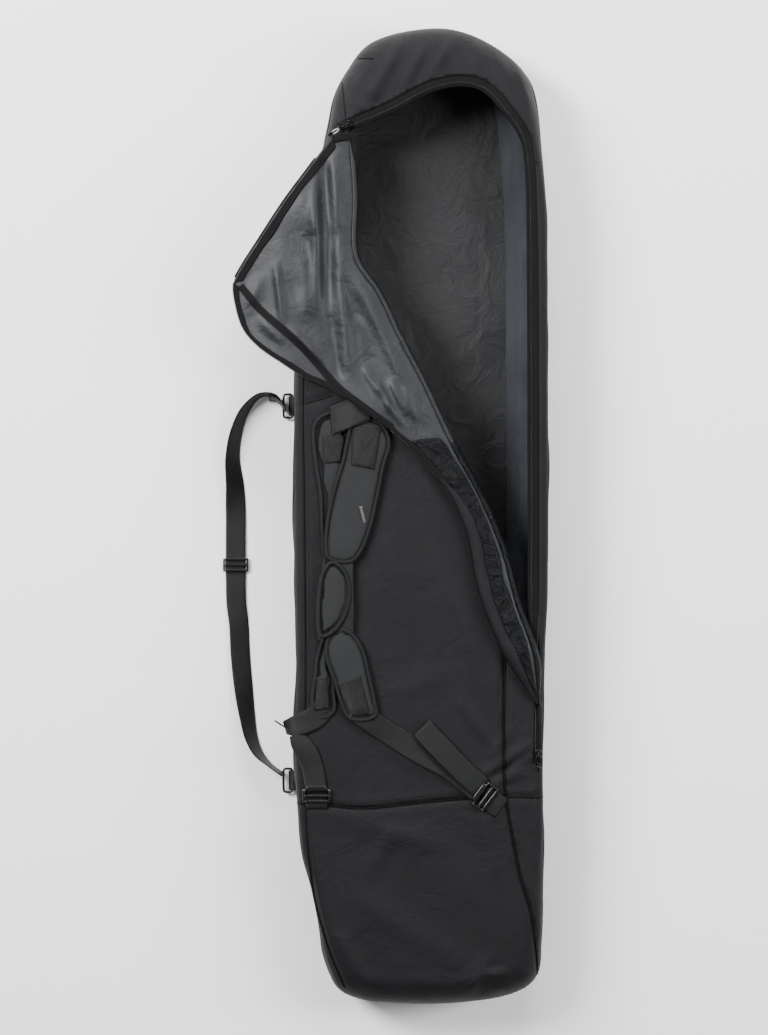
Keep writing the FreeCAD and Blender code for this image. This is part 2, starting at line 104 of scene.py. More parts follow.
FREE_EDGE = [(-150, 634), (-190, 581), (-233, 523), (-275, 460), (-306, 412), (-316, 390), (-311, 347),
             (-298, 311), (-272, 282), (-236, 257), (-203, 236), (-161, 217), (-113, 188), (-89, 171),
             (-38, 132), (-15, 111), (17, 75), (44, 44), (76, -30), (94, -120), (116, -183), (141, -238),
             (168, -279), (197, -320)]
LEFT_SEAM = [(-150, 600), (-180, 470), (-198, 250), (-197, 0), (-195, -250), (-196, -480), (-183, -628),
             (-156, -732), (-130, -795)]
CROSS_SEAM = [(-209, -484), (-150, -487), (-99, -491), (-7, -482), (70, -475), (144, -472), (204, -473)]
RIGHT_SEAM = [(141, -85), (140, -243), (138, -350), (141, -470), (150, -525), (167, -610), (183, -663),
              (193, -725), (197, -775)]


# ---------------------------------------------------------------- curves and regions

def smooth(points, step, closed=False):
    """A smooth curve through the points, cut into even steps."""
    p = np.array(points, float)
    if closed:
        ring = np.vstack([p[-1], p, p[0], p[1]])
    else:
        ring = np.vstack([2 * p[0] - p[1], p, 2 * p[-1] - p[-2]])
    curve = []
    for a, b, c, d in zip(ring, ring[1:], ring[2:], ring[3:]):
        knots = [0.0]
        for start, end in ((a, b), (b, c), (c, d)):
            knots.append(knots[-1] + max(np.linalg.norm(end - start), 1e-6) ** 0.5)
        t = np.linspace(knots[1], knots[2], 13)[:-1, None]
        row = [a, b, c, d]
        for level in (1, 2, 3):
            row = mix_level(row, knots, level, t)
        curve.append(row[0])
    curve = np.vstack(curve + [p[:1] if closed else p[-1:]])
    return even(curve, step)[:-1] if closed else even(curve, step)


def mix_level(row, knots, level, t):
    """One level of the centripetal spline's pyramid, whose last level spans the two middle knots."""
    mixed = []
    for i in range(len(row) - 1):
        low, high = (knots[1], knots[2]) if level == 3 else (knots[i], knots[i + level])
        mixed.append(((high - t) * row[i] + (t - low) * row[i + 1]) / (high - low))
    return mixed


def even(curve, step):
    """The same polyline cut into equal lengths."""
    lengths = np.r_[0, np.cumsum(np.linalg.norm(np.diff(curve, axis=0), axis=1))]
    count = max(int(round(lengths[-1] / step)), 2)
    at = np.linspace(0, lengths[-1], count + 1)
    return np.stack([np.interp(at, lengths, column) for column in curve.T], axis=1)


def distance(path, xy):
    """Distance of each plan point from a polyline."""
    a, b = path[:-1], path[1:]
    ab = b - a
    out = []
    for part in np.array_split(xy, max(len(xy) // 3000, 1)):
        t = ((part[:, None] - a) * ab).sum(2) / np.maximum((ab ** 2).sum(1), 1e-9)
        near = a + np.clip(t, 0, 1)[..., None] * ab
        out.append(np.linalg.norm(part[:, None] - near, axis=2).min(1))
    return np.concatenate(out)


def inside(loop, xy):
    """Which plan points lie within a closed outline."""
    a, b = loop, np.roll(loop, -1, axis=0)
    hits = np.zeros(len(xy), int)
    for (ax, ay), (bx, by) in zip(a, b):
        crosses = (ay > xy[:, 1]) != (by > xy[:, 1])
        if crosses.any():
            x = ax + (xy[:, 1] - ay) * (bx - ax) / (by - ay if by != ay else 1e-9)
            hits += crosses & (xy[:, 0] < x)
    return hits % 2 == 1


def normals(path, closed=False):
    """Unit normals to the left of a plan path."""
    if closed:
        along = np.roll(path, -1, axis=0) - np.roll(path, 1, axis=0)
    else:
        along = np.gradient(path, axis=0)
    along /= np.maximum(np.linalg.norm(along, axis=1), 1e-9)[:, None]
    return np.stack([-along[:, 1], along[:, 0]], axis=1)


def inward_normals(path, loop, at, closed=False):
    """Unit normals of a path along a plan outline, turned to its inside, which is tested at one point."""
    side = normals(path, closed)
    probe = path[at] + side[at] * 6
    return side if inside(loop, probe[None])[0] else -side


def step_up(value, low, high):
    """0 up to low and 1 from high on, with a smooth step between."""
    t = np.clip((value - low) / (high - low), 0, 1)
    return t * t * (3 - 2 * t)


# The outline runs anticlockwise, so its left normals point inwards.
OUTLINE = smooth(BAG, OUTLINE_STEP, closed=True)[::-1]
OUTLINE_RING = np.vstack([OUTLINE, OUTLINE[:1]])
INWARD = normals(OUTLINE, closed=True)
# Insets of the rows of points that round the bag's edge.
EDGE_RINGS = (1.2, 3.4, 7.0, 12.0, 18.0)


def ridges(xy, folds):
    """Height of soft folds, each (x, y, x, y, half width, height)."""
    height = np.zeros(len(xy))
    for x0, y0, x1, y1, width, rise in folds:
        start, end = np.array([x0, y0], float), np.array([x1, y1], float)
        run = end - start
        t = ((xy - start) @ run) / (run @ run)
        off = np.linalg.norm(xy - (start + np.clip(t, 0, 1)[:, None] * run), axis=1)
        ends = np.clip(1 - np.abs(2 * np.clip(t, 0, 1) - 1) ** 3, 0, 1)
        height += rise * np.exp(-(off / width) ** 2) * (0.25 + 0.75 * ends)
    return height


def ripple(xy, size, height):
    """Uneven small waves, the same on every run."""
    x, y = xy[:, 0] / size, xy[:, 1] / size
    wave = np.sin(x + 1.7 * np.sin(y * 0.61)) * np.sin(y * 1.13 + 0.8 * np.sin(x * 0.83))
    return height * (wave + 0.5 * np.sin(2.3 * x + 1.9 * y))


def edge_radius(xy):
    """How roundly the top turns into the walls: tighter beside the zip, wider at nose and tail."""
    beside_zip = step_up(xy[:, 0], 110, 190) * (1 - step_up(np.abs(xy[:, 1]), 500, 640))
    nose, tail = step_up(xy[:, 1], 560, 800), step_up(-xy[:, 1], 640, 800)
    return SIDE_RADIUS - 12 * beside_zip + 42 * nose + 30 * tail


def top_height(xy):
    """The bag's top surface, rounded over at its edges."""
    d = distance(OUTLINE_RING, xy)
    radius = edge_radius(xy)
    fall = radius - np.sqrt(np.maximum(radius ** 2 - (radius - np.clip(d, 0, radius)) ** 2, 0))
    return TOP - RIM_DROP - fall + ripple(xy, 61, 0.8) * step_up(d, 4, 40)


# ---------------------------------------------------------------- meshes

# Names of the materials that are fabric.
FABRICS = set()


def make(name, vertices, faces, material, body=None):
    """A piece in millimetres, with its material. It replaces the CAD node of its name, which it hides."""
    node_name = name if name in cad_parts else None
    if node_name:
        name += "_cloth" if material.name in FABRICS else "_part"
    mesh = bpy.data.meshes.new(name)
    mesh.from_pydata([tuple(v) for v in np.array(vertices) * MM], [], [tuple(map(int, f)) for f in faces])
    mesh.validate()
    shape = bmesh.new()
    shape.from_mesh(mesh)
    bmesh.ops.recalc_face_normals(shape, faces=shape.faces)
    shape.to_mesh(mesh)
    shape.free()
    mesh.polygons.foreach_set("use_smooth", [True] * len(mesh.polygons))
    piece = bpy.data.objects.new(name, mesh)
    bpy.context.scene.collection.objects.link(piece)
    mesh.materials.append(material)
    if body:
        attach(piece, body)
    if node_name:
        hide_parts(node_name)
    return piece


def bend_between(pieces, blend):
    """Bake the pieces' transforms into their meshes when a blend, (body they are sewn to, start, end), is
    given.
    """
    if blend:
        for piece in pieces:
            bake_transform(piece)


def fill(loop, spacing, rings=None):
    """Triangles over a closed plan outline, with even points inside it and close rings at the bag's edge."""
    low, high = loop.min(0), loop.max(0)
    grid = []
    for i, y in enumerate(np.arange(low[1], high[1], spacing * 0.866)):
        x = np.arange(low[0] + (i % 2) * spacing / 2, high[0], spacing)
        grid.append(np.column_stack([x, np.full(len(x), y)]))
    grid = np.vstack(grid)
    grid = grid[inside(loop, grid)]
    ring = np.vstack([loop, loop[:1]])
    if rings is not None:
        grid = grid[distance(OUTLINE_RING, grid) > EDGE_RINGS[-1] + spacing * 0.5]
        rings = rings[inside(loop, rings)]
        grid = np.vstack([grid, rings])
    grid = grid[distance(ring, grid) > (spacing * 0.55 if rings is None else 0.9)]
    points = np.vstack([loop, grid])
    edges = [(i, (i + 1) % len(loop)) for i in range(len(loop))]
    result = delaunay_2d_cdt([Vector(p) for p in points], edges, [], 1, 1e-5)
    return np.array([tuple(v) for v in result[0]]), result[2]


def boundary(faces):
    """The directed edges that only one face has, in the order of the faces."""
    edges = dict.fromkeys(edge for face in faces for edge in zip(face, face[1:] + face[:1]))
    return [(a, b) for a, b in edges if (b, a) not in edges]


def slab(name, loop, spacing, top, thickness, material, body, rings=None):
    """A closed sheet over an outline, its top face at a height function."""
    xy, faces = fill(loop, spacing, rings)
    faces = [list(f) for f in faces]
    if signed_area(xy, faces[0]) < 0:
        faces = [f[::-1] for f in faces]
    z = top(xy)
    depth = thickness(xy) if callable(thickness) else thickness
    upper = np.column_stack([xy, z])
    lower = np.column_stack([xy, z - depth])
    count = len(xy)
    under = [[i + count for i in f[::-1]] for f in faces]
    sides = [(b, a, a + count, b + count) for a, b in boundary(faces)]
    return make(name, np.vstack([upper, lower]), faces + under + sides, material, body)


def signed_area(xy, face):
    """Twice a triangle's plan area, negative when it runs clockwise."""
    a, b, c = (xy[i] for i in face[:3])
    return (b[0] - a[0]) * (c[1] - a[1]) - (b[1] - a[1]) * (c[0] - a[0])


def grid_piece(name, rows, material, body=None, thickness=0.0, closed=False):
    """A surface from rows of points, made closed by a thickness along its normals."""
    rows = np.array(rows, float)
    n_rows, n_cols = rows.shape[:2]
    du = np.gradient(rows, axis=1)
    if closed:
        du = np.roll(rows, -1, axis=1) - np.roll(rows, 1, axis=1)
    normal = np.cross(du, np.gradient(rows, axis=0))
    normal /= np.maximum(np.linalg.norm(normal, axis=2), 1e-9)[..., None]
    layers = [rows, rows - normal * thickness]
    faces = []
    size = n_rows * n_cols
    span = n_cols if closed else n_cols - 1
    for i in range(n_rows - 1):
        for j in range(span):
            k = (j + 1) % n_cols
            a, b, c, d = i * n_cols + j, i * n_cols + k, (i + 1) * n_cols + k, (i + 1) * n_cols + j
            faces.append((a, b, c, d))
            faces.append((d + size, c + size, b + size, a + size))
    for j in range(span):
        k = (j + 1) % n_cols
        last = (n_rows - 1) * n_cols
        faces.append((k, j, j + size, k + size))
        faces.append((last + j, last + k, last + k + size, last + j + size))
    if not closed:
        for i in range(n_rows - 1):
            a, b = i * n_cols, (i + 1) * n_cols
            faces.append((a, b, b + size, a + size))
            a, b = a + n_cols - 1, b + n_cols - 1
            faces.append((b, a, a + size, b + size))
    return make(name, np.vstack([layer.reshape(-1, 3) for layer in layers]), faces, material, body)


def sweep_mesh(path, section, roll=None, scale=None, loop=False, across=None):
    """Vertices and faces of a section carried along a 3-D path, level or with its width along across."""
    path = np.array(path, float)
    along = np.roll(path, -1, 0) - np.roll(path, 1, 0) if loop else np.gradient(path, axis=0)
    along /= np.maximum(np.linalg.norm(along, axis=1), 1e-9)[:, None]
    side = np.cross(along, UP)
    weak = np.linalg.norm(side, axis=1) < 0.2
    side[weak] = np.cross(along[weak], np.array([0, 1.0, 0]))
    if across is not None:
        side = np.array(across, float) - along * (along @ np.array(across, float))[:, None]
    side /= np.linalg.norm(side, axis=1)[:, None]
    up = np.cross(side, along)
    roll = np.zeros(len(path)) if roll is None else np.radians(roll)
    scale = np.ones(len(path)) if scale is None else np.array(scale)
    c, s = np.cos(roll)[:, None], np.sin(roll)[:, None]
    side, up = side * c + up * s, up * c - side * s
    section = np.array(section, float)
    rings = (path[:, None] + side[:, None] * (section[:, 0] * scale[:, None])[..., None]
             + up[:, None] * section[:, 1][None, :, None])
    n, m = rings.shape[:2]
    faces = []
    for i in range(n if loop else n - 1):
        j = (i + 1) % n
        for k in range(m):
            q = (k + 1) % m
            faces.append((i * m + k, j * m + k, j * m + q, i * m + q))
    if not loop:
        faces.append(tuple(range(m)))
        faces.append(tuple((n - 1) * m + k for k in reversed(range(m))))
    return rings.reshape(-1, 3), faces


def sweep(name, path, section, material, body=None, **how):
    vertices, faces = sweep_mesh(path, section, **how)
    return make(name, vertices, faces, material, body)


def join(name, parts, material, body=None):
    """One mesh from several (vertices, faces) pairs."""
    vertices, faces, base = [], [], 0
    for points, polygons in parts:
        vertices.append(points)
        faces += [tuple(i + base for i in f) for f in polygons]
        base += len(points)
    return make(name, np.vstack(vertices), faces, material, body)


def circle(radius, sides=8, squash=1.0):
    angles = np.arange(sides) * 2 * math.pi / sides
    return np.stack([radius * np.cos(angles), radius * squash * np.sin(angles)], 1)


def strip_section(width, thickness, ribs=12):
    """Section of a flat strap with rounded edges."""
    half, t = width / 2 - thickness / 2, thickness / 2
    across = np.linspace(-half, half, ribs)
    upper = [(x, t) for x in across]
    lower = [(x, -t) for x in across[::-1]]
    return [(-half - t, 0.0)] + upper + [(half + t, 0.0)] + lower


def ribbon(name, points, width, body, thickness=1.9, roll=None, scale=None, step=5.0, across=None):
    """Webbing through given points, with a roll and a width share at each."""
    points = np.array(points, float)
    extra = np.column_stack([points, np.zeros(len(points)) if roll is None else roll,
                             np.ones(len(points)) if scale is None else scale])
    fine = smooth_3d(extra, step)
    return sweep(name, fine[:, :3], strip_section(width, thickness), STRAP, body, roll=fine[:, 3],
                 scale=fine[:, 4], across=across)


def smooth_3d(points, step):
    """Smooth through points that carry extra columns after x, y and z."""
    points = np.array(points, float)
    lengths = np.r_[0, np.cumsum(np.linalg.norm(np.diff(points[:, :3], axis=0), axis=1))]
    at = np.linspace(0, lengths[-1], max(int(lengths[-1] / step), 6))
    slopes = np.gradient(points, lengths, axis=0)
    index = np.clip(np.searchsorted(lengths, at, side="right") - 1, 0, len(points) - 2)
    span = (lengths[index + 1] - lengths[index])[:, None]
    t = ((at - lengths[index]) / span[:, 0])[:, None]
    a, b = points[index], points[index + 1]
    return ((2 * t ** 3 - 3 * t ** 2 + 1) * a + (t ** 3 - 2 * t ** 2 + t) * span * slopes[index]
            + (3 * t ** 2 - 2 * t ** 3) * b + (t ** 3 - t ** 2) * span * slopes[index + 1])


def stitches(name, path, body, pitch=4.6, long=3.0, thick=0.45):
    """A row of raised thread stitches along a 3-D path."""
    fine = even(np.array(path, float), pitch)
    parts = []
    for start, end in zip(fine, fine[1:]):
        reach = (end - start) * (long / pitch)
        middle = [start, start + reach * 0.5 + UP * 0.25, start + reach]
        parts.append(sweep_mesh(middle, circle(thick, 5)))
    return join(name, parts, THREAD, body)


def on_surface(path, height, lift):
    """Raise a plan path onto a height function."""
    return np.column_stack([path, height(path) + lift])


# ---------------------------------------------------------------- materials

def node(tree, kind, **settings):
    """A shader node whose inputs and attributes are set by name."""
    made = tree.nodes.new(kind)
    for key, value in settings.items():
        if key in made.inputs:
            made.inputs[key].default_value = value
        else:
            setattr(made, key, value)
    return made


def color_ramp(tree, shader, dark, light, low, high):
    """A ramp between two colours into the shader's base colour; returns the socket that drives it."""
    ramp = node(tree, "ShaderNodeValToRGB")
    for element, place, color in zip(ramp.color_ramp.elements, (low, high), (dark, light)):
        element.position = place
        element.color = (*color, 1)
    tree.links.new(ramp.outputs[0], shader.inputs["Base Color"])
    return ramp.inputs[0]


def cloth_material(name, dark, light, rough, weave=0.9, weave_depth=0.25, crumple=0.0,
                   crumple_size=30.0, sheen=0.0, coat=0.0, ribs=False, specular=0.5, rough_range=0.08):
    """Woven fabric: colour variation, weave or ribs, crumples and sheen. Sizes are in millimetres."""
    FABRICS.add(name)
    material = bpy.data.materials.new(name)
    material.use_nodes = True
    tree = material.node_tree
    tree.nodes.clear()
    output = node(tree, "ShaderNodeOutputMaterial")
    shader = node(tree, "ShaderNodeBsdfPrincipled", **{
        "Sheen Weight": sheen, "Sheen Roughness": 0.45, "Coat Weight": coat, "Coat Roughness": 0.3,
        "Specular IOR Level": specular})
    link = tree.links.new
    link(shader.outputs[0], output.inputs[0])
    place = node(tree, "ShaderNodeTexCoord").outputs["Object"]
    broad = node(tree, "ShaderNodeTexNoise", Scale=9.0, Detail=5.0, Roughness=0.6)
    fine = node(tree, "ShaderNodeTexNoise", Scale=420.0, Detail=3.0, Roughness=0.7)
    for noise in (broad, fine):
        link(place, noise.inputs["Vector"])
    fine_share = 0.45
    blend = node(tree, "ShaderNodeMath", operation="MULTIPLY_ADD")
    blend.inputs[1].default_value = fine_share
    link(fine.outputs["Fac"], blend.inputs[0])
    rest = node(tree, "ShaderNodeMath", operation="MULTIPLY")
    rest.inputs[1].default_value = 1 - fine_share
    link(broad.outputs["Fac"], rest.inputs[0])
    link(rest.outputs[0], blend.inputs[2])
    link(blend.outputs[0], color_ramp(tree, shader, dark, light, 0.3, 0.7))
    shine = node(tree, "ShaderNodeMapRange", **{"To Min": rough - rough_range, "To Max": rough + rough_range})
    link(broad.outputs["Fac"], shine.inputs["Value"])
    link(shine.outputs[0], shader.inputs["Roughness"])
    bump = None
    for direction in ("Y",) if ribs else ("X", "Y"):
        wave = node(tree, "ShaderNodeTexWave", bands_direction=direction, **{
            "Scale": math.pi / 10 / (weave * MM), "Distortion": 1.2 if ribs else 3.5, "Detail": 2.0,
            "Detail Scale": 1.6})
        link(place, wave.inputs["Vector"])
        bump = add_bump(tree, wave.outputs["Fac"], weave_depth * MM, bump)
    if crumple:
        creases = node(tree, "ShaderNodeTexNoise", Scale=1000.0 / crumple_size, Detail=6.0, Roughness=0.62,
                       Distortion=0.9)
        link(place, creases.inputs["Vector"])
        bump = add_bump(tree, creases.outputs["Fac"], crumple * MM, bump)
    link(bump.outputs[0], shader.inputs["Normal"])
    return material


def add_bump(tree, height, depth, before):
    """A bump node after another one, or the first of its chain."""
    bump = node(tree, "ShaderNodeBump", Strength=1.0, Distance=depth)
    tree.links.new(height, bump.inputs["Height"])
    if before:
        tree.links.new(before.outputs[0], bump.inputs["Normal"])
    return bump


def hard_material(name, color, rough, metal=0.0, grain=0.06):
    """Moulded plastic or painted metal, with a fine grain and scuffs."""
    material = bpy.data.materials.new(name)
    material.use_nodes = True
    tree = material.node_tree
    shader = tree.nodes["Principled BSDF"]
    shader.inputs["Metallic"].default_value = metal
    place = node(tree, "ShaderNodeTexCoord")
    noise = node(tree, "ShaderNodeTexNoise", Scale=260.0, Detail=5.0, Roughness=0.65)
    tree.links.new(place.outputs["Object"], noise.inputs["Vector"])
    darker, lighter = [c * 0.8 for c in color], [c * 1.3 for c in color]
    tree.links.new(noise.outputs["Fac"], color_ramp(tree, shader, darker, lighter, 0.0, 1.0))
    shine = node(tree, "ShaderNodeMapRange", **{"To Min": rough * 0.75, "To Max": rough * 1.3})
    tree.links.new(noise.outputs["Fac"], shine.inputs["Value"])
    tree.links.new(shine.outputs[0], shader.inputs["Roughness"])
    bump = add_bump(tree, noise.outputs["Fac"], grain * MM, None)
    tree.links.new(bump.outputs[0], shader.inputs["Normal"])
    return material


SHELL = cloth_material("shell_weave", (0.0020, 0.0021, 0.0028), (0.0040, 0.0042, 0.0054), 0.57,
                       weave_depth=0.1, crumple=3.6, crumple_size=85, specular=0.175)
# A slightly darker copy of the shell fabric for the walls, back panel, fold roll and gusset: painted shade on
# sides that face away from the light.
SHELL_PAINTED_SHADE = cloth_material("shell_side_painted_shade", (0.0018, 0.0019, 0.0025), (0.0036, 0.0037, 0.0048), 0.6,
                            weave_depth=0.1, crumple=3.0, crumple_size=70, specular=0.14)
LINING = cloth_material("coated_lining", (0.0060, 0.0066, 0.0086), (0.0125, 0.0137, 0.0170), 0.38,
                        weave=0.6, weave_depth=0.05, crumple=3.4, crumple_size=42, coat=0.06,
                        specular=0.27, rough_range=0.05)
# Darker coated lining of the bag's floor; the fold roll takes it too, as painted shade along the fold.
INSIDE_LINING_AND_FOLD_SHADE = cloth_material("inside_lining_and_fold_shade", (0.0026, 0.0029, 0.0036), (0.0062, 0.0067, 0.0080), 0.4,
                        weave=0.6, weave_depth=0.05, crumple=3.2, crumple_size=55, coat=0.03, specular=0.28)
FACING = cloth_material("coated_facing", (0.0014, 0.0016, 0.0020), (0.0036, 0.0039, 0.0046), 0.19,
                        weave=0.6, weave_depth=0.05, crumple=7.0, crumple_size=26, coat=0.02, specular=0.1)
# A much lighter copy of the coated lining for the inside walls: painted light on walls that stand in shade.
WALL_LINING_PAINTED_LIGHT = cloth_material("wall_lining_painted_light", (0.024, 0.026, 0.032), (0.054, 0.058, 0.068),
                             0.36, weave=0.6, crumple=4.0, crumple_size=60, coat=0.05, specular=0.42)
PAD = cloth_material("pad_weave", (0.0108, 0.0113, 0.0122), (0.0182, 0.0190, 0.0203), 0.74, weave=0.8,
                     crumple=1.0, crumple_size=40, sheen=0.03, specular=0.28)
BINDING = cloth_material("binding_tape", (0.0036, 0.0040, 0.0044), (0.0072, 0.0078, 0.0084), 0.58,
                         weave=1.0, weave_depth=0.15, specular=0.18)
STRAP = cloth_material("webbing_rib", (0.0022, 0.0025, 0.0026), (0.0050, 0.0055, 0.0056), 0.5,
                       weave=1.8, weave_depth=0.3, ribs=True, specular=0.22)
TAPE = cloth_material("zip_tape", (0.0014, 0.0014, 0.0017), (0.0034, 0.0034, 0.0039), 0.62,
                      weave=1.2, weave_depth=0.15, specular=0.1)
THREAD = cloth_material("thread", (0.0030, 0.0030, 0.0034), (0.0090, 0.0090, 0.0098), 0.5, weave=0.4,
                        weave_depth=0.08, specular=0.4)
LABEL = cloth_material("label_weave", (0.050, 0.050, 0.052), (0.095, 0.095, 0.098), 0.6, weave=0.5,
                       weave_depth=0.1)
COIL = hard_material("coil_nylon", (0.005, 0.005, 0.006), 0.3)
BUCKLE = hard_material("buckle_plastic", (0.004, 0.004, 0.0045), 0.2)
METAL = hard_material("slider_enamel", (0.02, 0.02, 0.021), 0.16, metal=0.9, grain=0.03)
CORD = cloth_material("pull_cord", (0.40, 0.40, 0.40), (0.58, 0.58, 0.57), 0.6, weave=0.5,
                      weave_depth=0.1)


# ---------------------------------------------------------------- camera and light

def look_down():
    """Straight down, a little to the left of the bag's middle."""
    reach = 4.35
    half_height = 0.085
    seen_at_half_height = 1.770
    sensor = 36.0
    camera = bpy.data.cameras.new("camera")
    camera.sensor_fit = "AUTO"
    camera.sensor_width = sensor
    camera.lens = sensor * (reach + half_height) / seen_at_half_height
    camera.clip_end = 50
    eye = bpy.data.objects.new("camera", camera)
    eye.location = (-0.063, -0.003, TOP * MM + reach)
    bpy.context.scene.collection.objects.link(eye)
    bpy.context.scene.camera = eye


def add_light(name, place, target, size, power):
    lamp = bpy.data.lights.new(name, "AREA")
    lamp.shape = "RECTANGLE"
    lamp.size, lamp.size_y = size
    lamp.energy = power
    holder = bpy.data.objects.new(name, lamp)
    holder.location = place
    holder.rotation_euler = (Vector(target) - Vector(place)).to_track_quat("-Z", "Y").to_euler()
    bpy.context.scene.collection.objects.link(holder)


def light_studio():
    world = bpy.data.worlds.new("studio")
    world.use_nodes = True
    world.node_tree.nodes["Background"].inputs[0].default_value = (1, 1, 1, 1)
    world.node_tree.nodes["Background"].inputs[1].default_value = 0.36
    bpy.context.scene.world = world
    add_light("key", (-2.6, 1.6, 3.2), (0, 0.1, 0.1), (1.2, 2.2), 390)
    add_light("fill", (2.8, 0.2, 2.6), (0, 0, 0.1), (0.9, 2.6), 150)
    add_light("nose", (0.4, 3.4, 2.2), (0, 0.4, 0.1), (2.2, 0.8), 160)


def lay_floor():
    material = bpy.data.materials.new("floor")
    material.use_nodes = True
    shader = material.node_tree.nodes["Principled BSDF"]
    shader.inputs["Base Color"].default_value = (0.93, 0.93, 0.93, 1)
    shader.inputs["Roughness"].default_value = 0.9
    size = 6000
    floor = make("floor", [(-size, -size, 0), (size, -size, 0), (size, size, 0), (-size, size, 0)],
                 [(0, 1, 2, 3)], material)


look_down()
light_studio()
lay_floor()


# ---------------------------------------------------------------- shell of the bag

def inset_loop(amount):
    return OUTLINE + INWARD * amount


def make_walls():
    """Side walls: soft, slightly bulged, rounded at the floor and at the top."""
    foot = 14
    along = np.arange(len(OUTLINE)) * OUTLINE_STEP
    rows = []
    for inset, z in ((9, 1.8), (4, 3.9), (1.2, 8), (0.3, foot)):
        loop = inset_loop(inset)
        rows.append(np.column_stack([loop, np.full(len(loop), float(z))]))
    for share in np.linspace(0.08, 1.0, 9):
        z = foot + share * (TOP - RIM_DROP - edge_radius(OUTLINE) - foot)
        wave = 2.4 * np.sin(along / 41 + 2.4 * share) * np.sin(along / 173)
        wave += 0.7 * np.sin(along / 17 + 5 * share)
        bulge = 2.6 * math.sin(share * math.pi) + wave * math.sin(share * 3)
        loop = OUTLINE + INWARD * (1.6 - bulge)[:, None]
        rows.append(np.column_stack([loop, z]))
    # The walls take the darker shell copy: painted shade on the sides.
    walls = grid_piece("walls", rows, SHELL_PAINTED_SHADE, "bag", thickness=-2.0, closed=True)
    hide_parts("wall_right", "wall_nose", "wall_left", "wall_tail")


def make_back():
    """Flat panel that the bag lies on."""
    thick = 2.4
    # The back panel takes the darker shell copy: painted shade.
    slab("back_panel", inset_loop(9)[::2], 22, lambda xy: np.full(len(xy), thick), thick, SHELL_PAINTED_SHADE, "bag")


def between(path, start, end):
    """The stretch of a path from nearest one point to nearest another."""
    i = np.linalg.norm(path - np.array(start), axis=1).argmin()
    j = np.linalg.norm(path - np.array(end), axis=1).argmin()
    if i <= j:
        return path[i:j + 1]
    return np.vstack([path[i:], path[:j + 1]])


SEAMS = [smooth(line, 6) for line in (LEFT_SEAM, CROSS_SEAM, RIGHT_SEAM)]
HOOD_SEAM = smooth([(-135, 734), (-131, 700), (-127, 664)], 5)
SIDE_SEAM = smooth([(-211, 186), (-195, 188), (-150, 201)], 5)
HOOD_DART = smooth([(-108, 773), (-94, 771), (-80, 768)], 5)

PANEL_FOLDS = [(103, -436, 185, -380, 9, 3.4), (106, -446, 176, -402, 4, -2.8),
               (110, -455, 176, -425, 8, 2.4), (120, -410, 150, -350, 9, 2.2),
               (20, -60, 125, -330, 16, 1.8), (-60, 40, -20, -220, 22, 1.8), (-95, -360, 20, -440, 13, 1.5),
               (60, -120, 100, -260, 12, 1.6), (-180, 60, -185, -200, 8, 1.4), (-10, 110, 40, -40, 14, 1.8),
               (60, -300, 128, -400, 10, 2.0), (150, -240, 190, -300, 8, 1.8),
               (152, -420, 190, -400, 6, 2.2), (-60, -300, 60, -260, 18, 1.4),
               (140, -250, 128, -330, 5, -2.0)]
TAIL_FOLDS = [(-160, -500, 60, -560, 18, 1.6), (-120, -640, 90, -760, 24, 1.8),
              (84, -800, 98, -768, 6, 3.0), (98, -768, 142, -768, 6, 3.0), (123, -790, 147, -799, 6, 2.6),
              (60, -790, 120, -740, 12, 1.8), (-150, -690, -80, -800, 14, 1.8),
              (147, -500, 160, -570, 8, 2.2), (100, -500, 130, -620, 12, 1.8),
              (-40, -520, -90, -600, 14, 1.6), (150, -560, 186, -640, 7, 2.0)]
HOOD_FOLDS = [(-32, 800, -92, 690, 10, 3.4), (7, 790, -30, 722, 8, 3.0), (53, 800, 18, 742, 8, 2.8),
              (125, 776, 147, 728, 8, 3.0), (162, 754, 184, 680, 7, 2.8), (-108, 740, -70, 700, 8, 2.6),
              (90, 800, 100, 750, 9, 2.4), (-66, 770, -112, 700, 6, -2.2), (-128, 700, -96, 680, 6, 2.0)]


def panel_height(xy):
    """Top surface with folds, and grooves where panels are sewn together."""
    z = top_height(xy)
    z = z + ridges(xy, PANEL_FOLDS + TAIL_FOLDS + HOOD_FOLDS) * 1.5 * (1 - strap_area(xy))
    for seam in SEAMS + [HOOD_SEAM, HOOD_DART, SIDE_SEAM]:
        z = z - 2.2 * np.exp(-(distance(seam, xy) / 4.5) ** 2)
        z = z + 0.8 * np.exp(-((distance(seam, xy) - 11) / 6.0) ** 2)
    return z


def strap_area(xy):
    """1 under the shoulder straps, where the panel is held flat."""
    spine = np.array([(-110, 170), (-135, -20), (-140, -200), (-120, -330)], float)
    return 1 - step_up(distance(spine, xy), 45, 75)


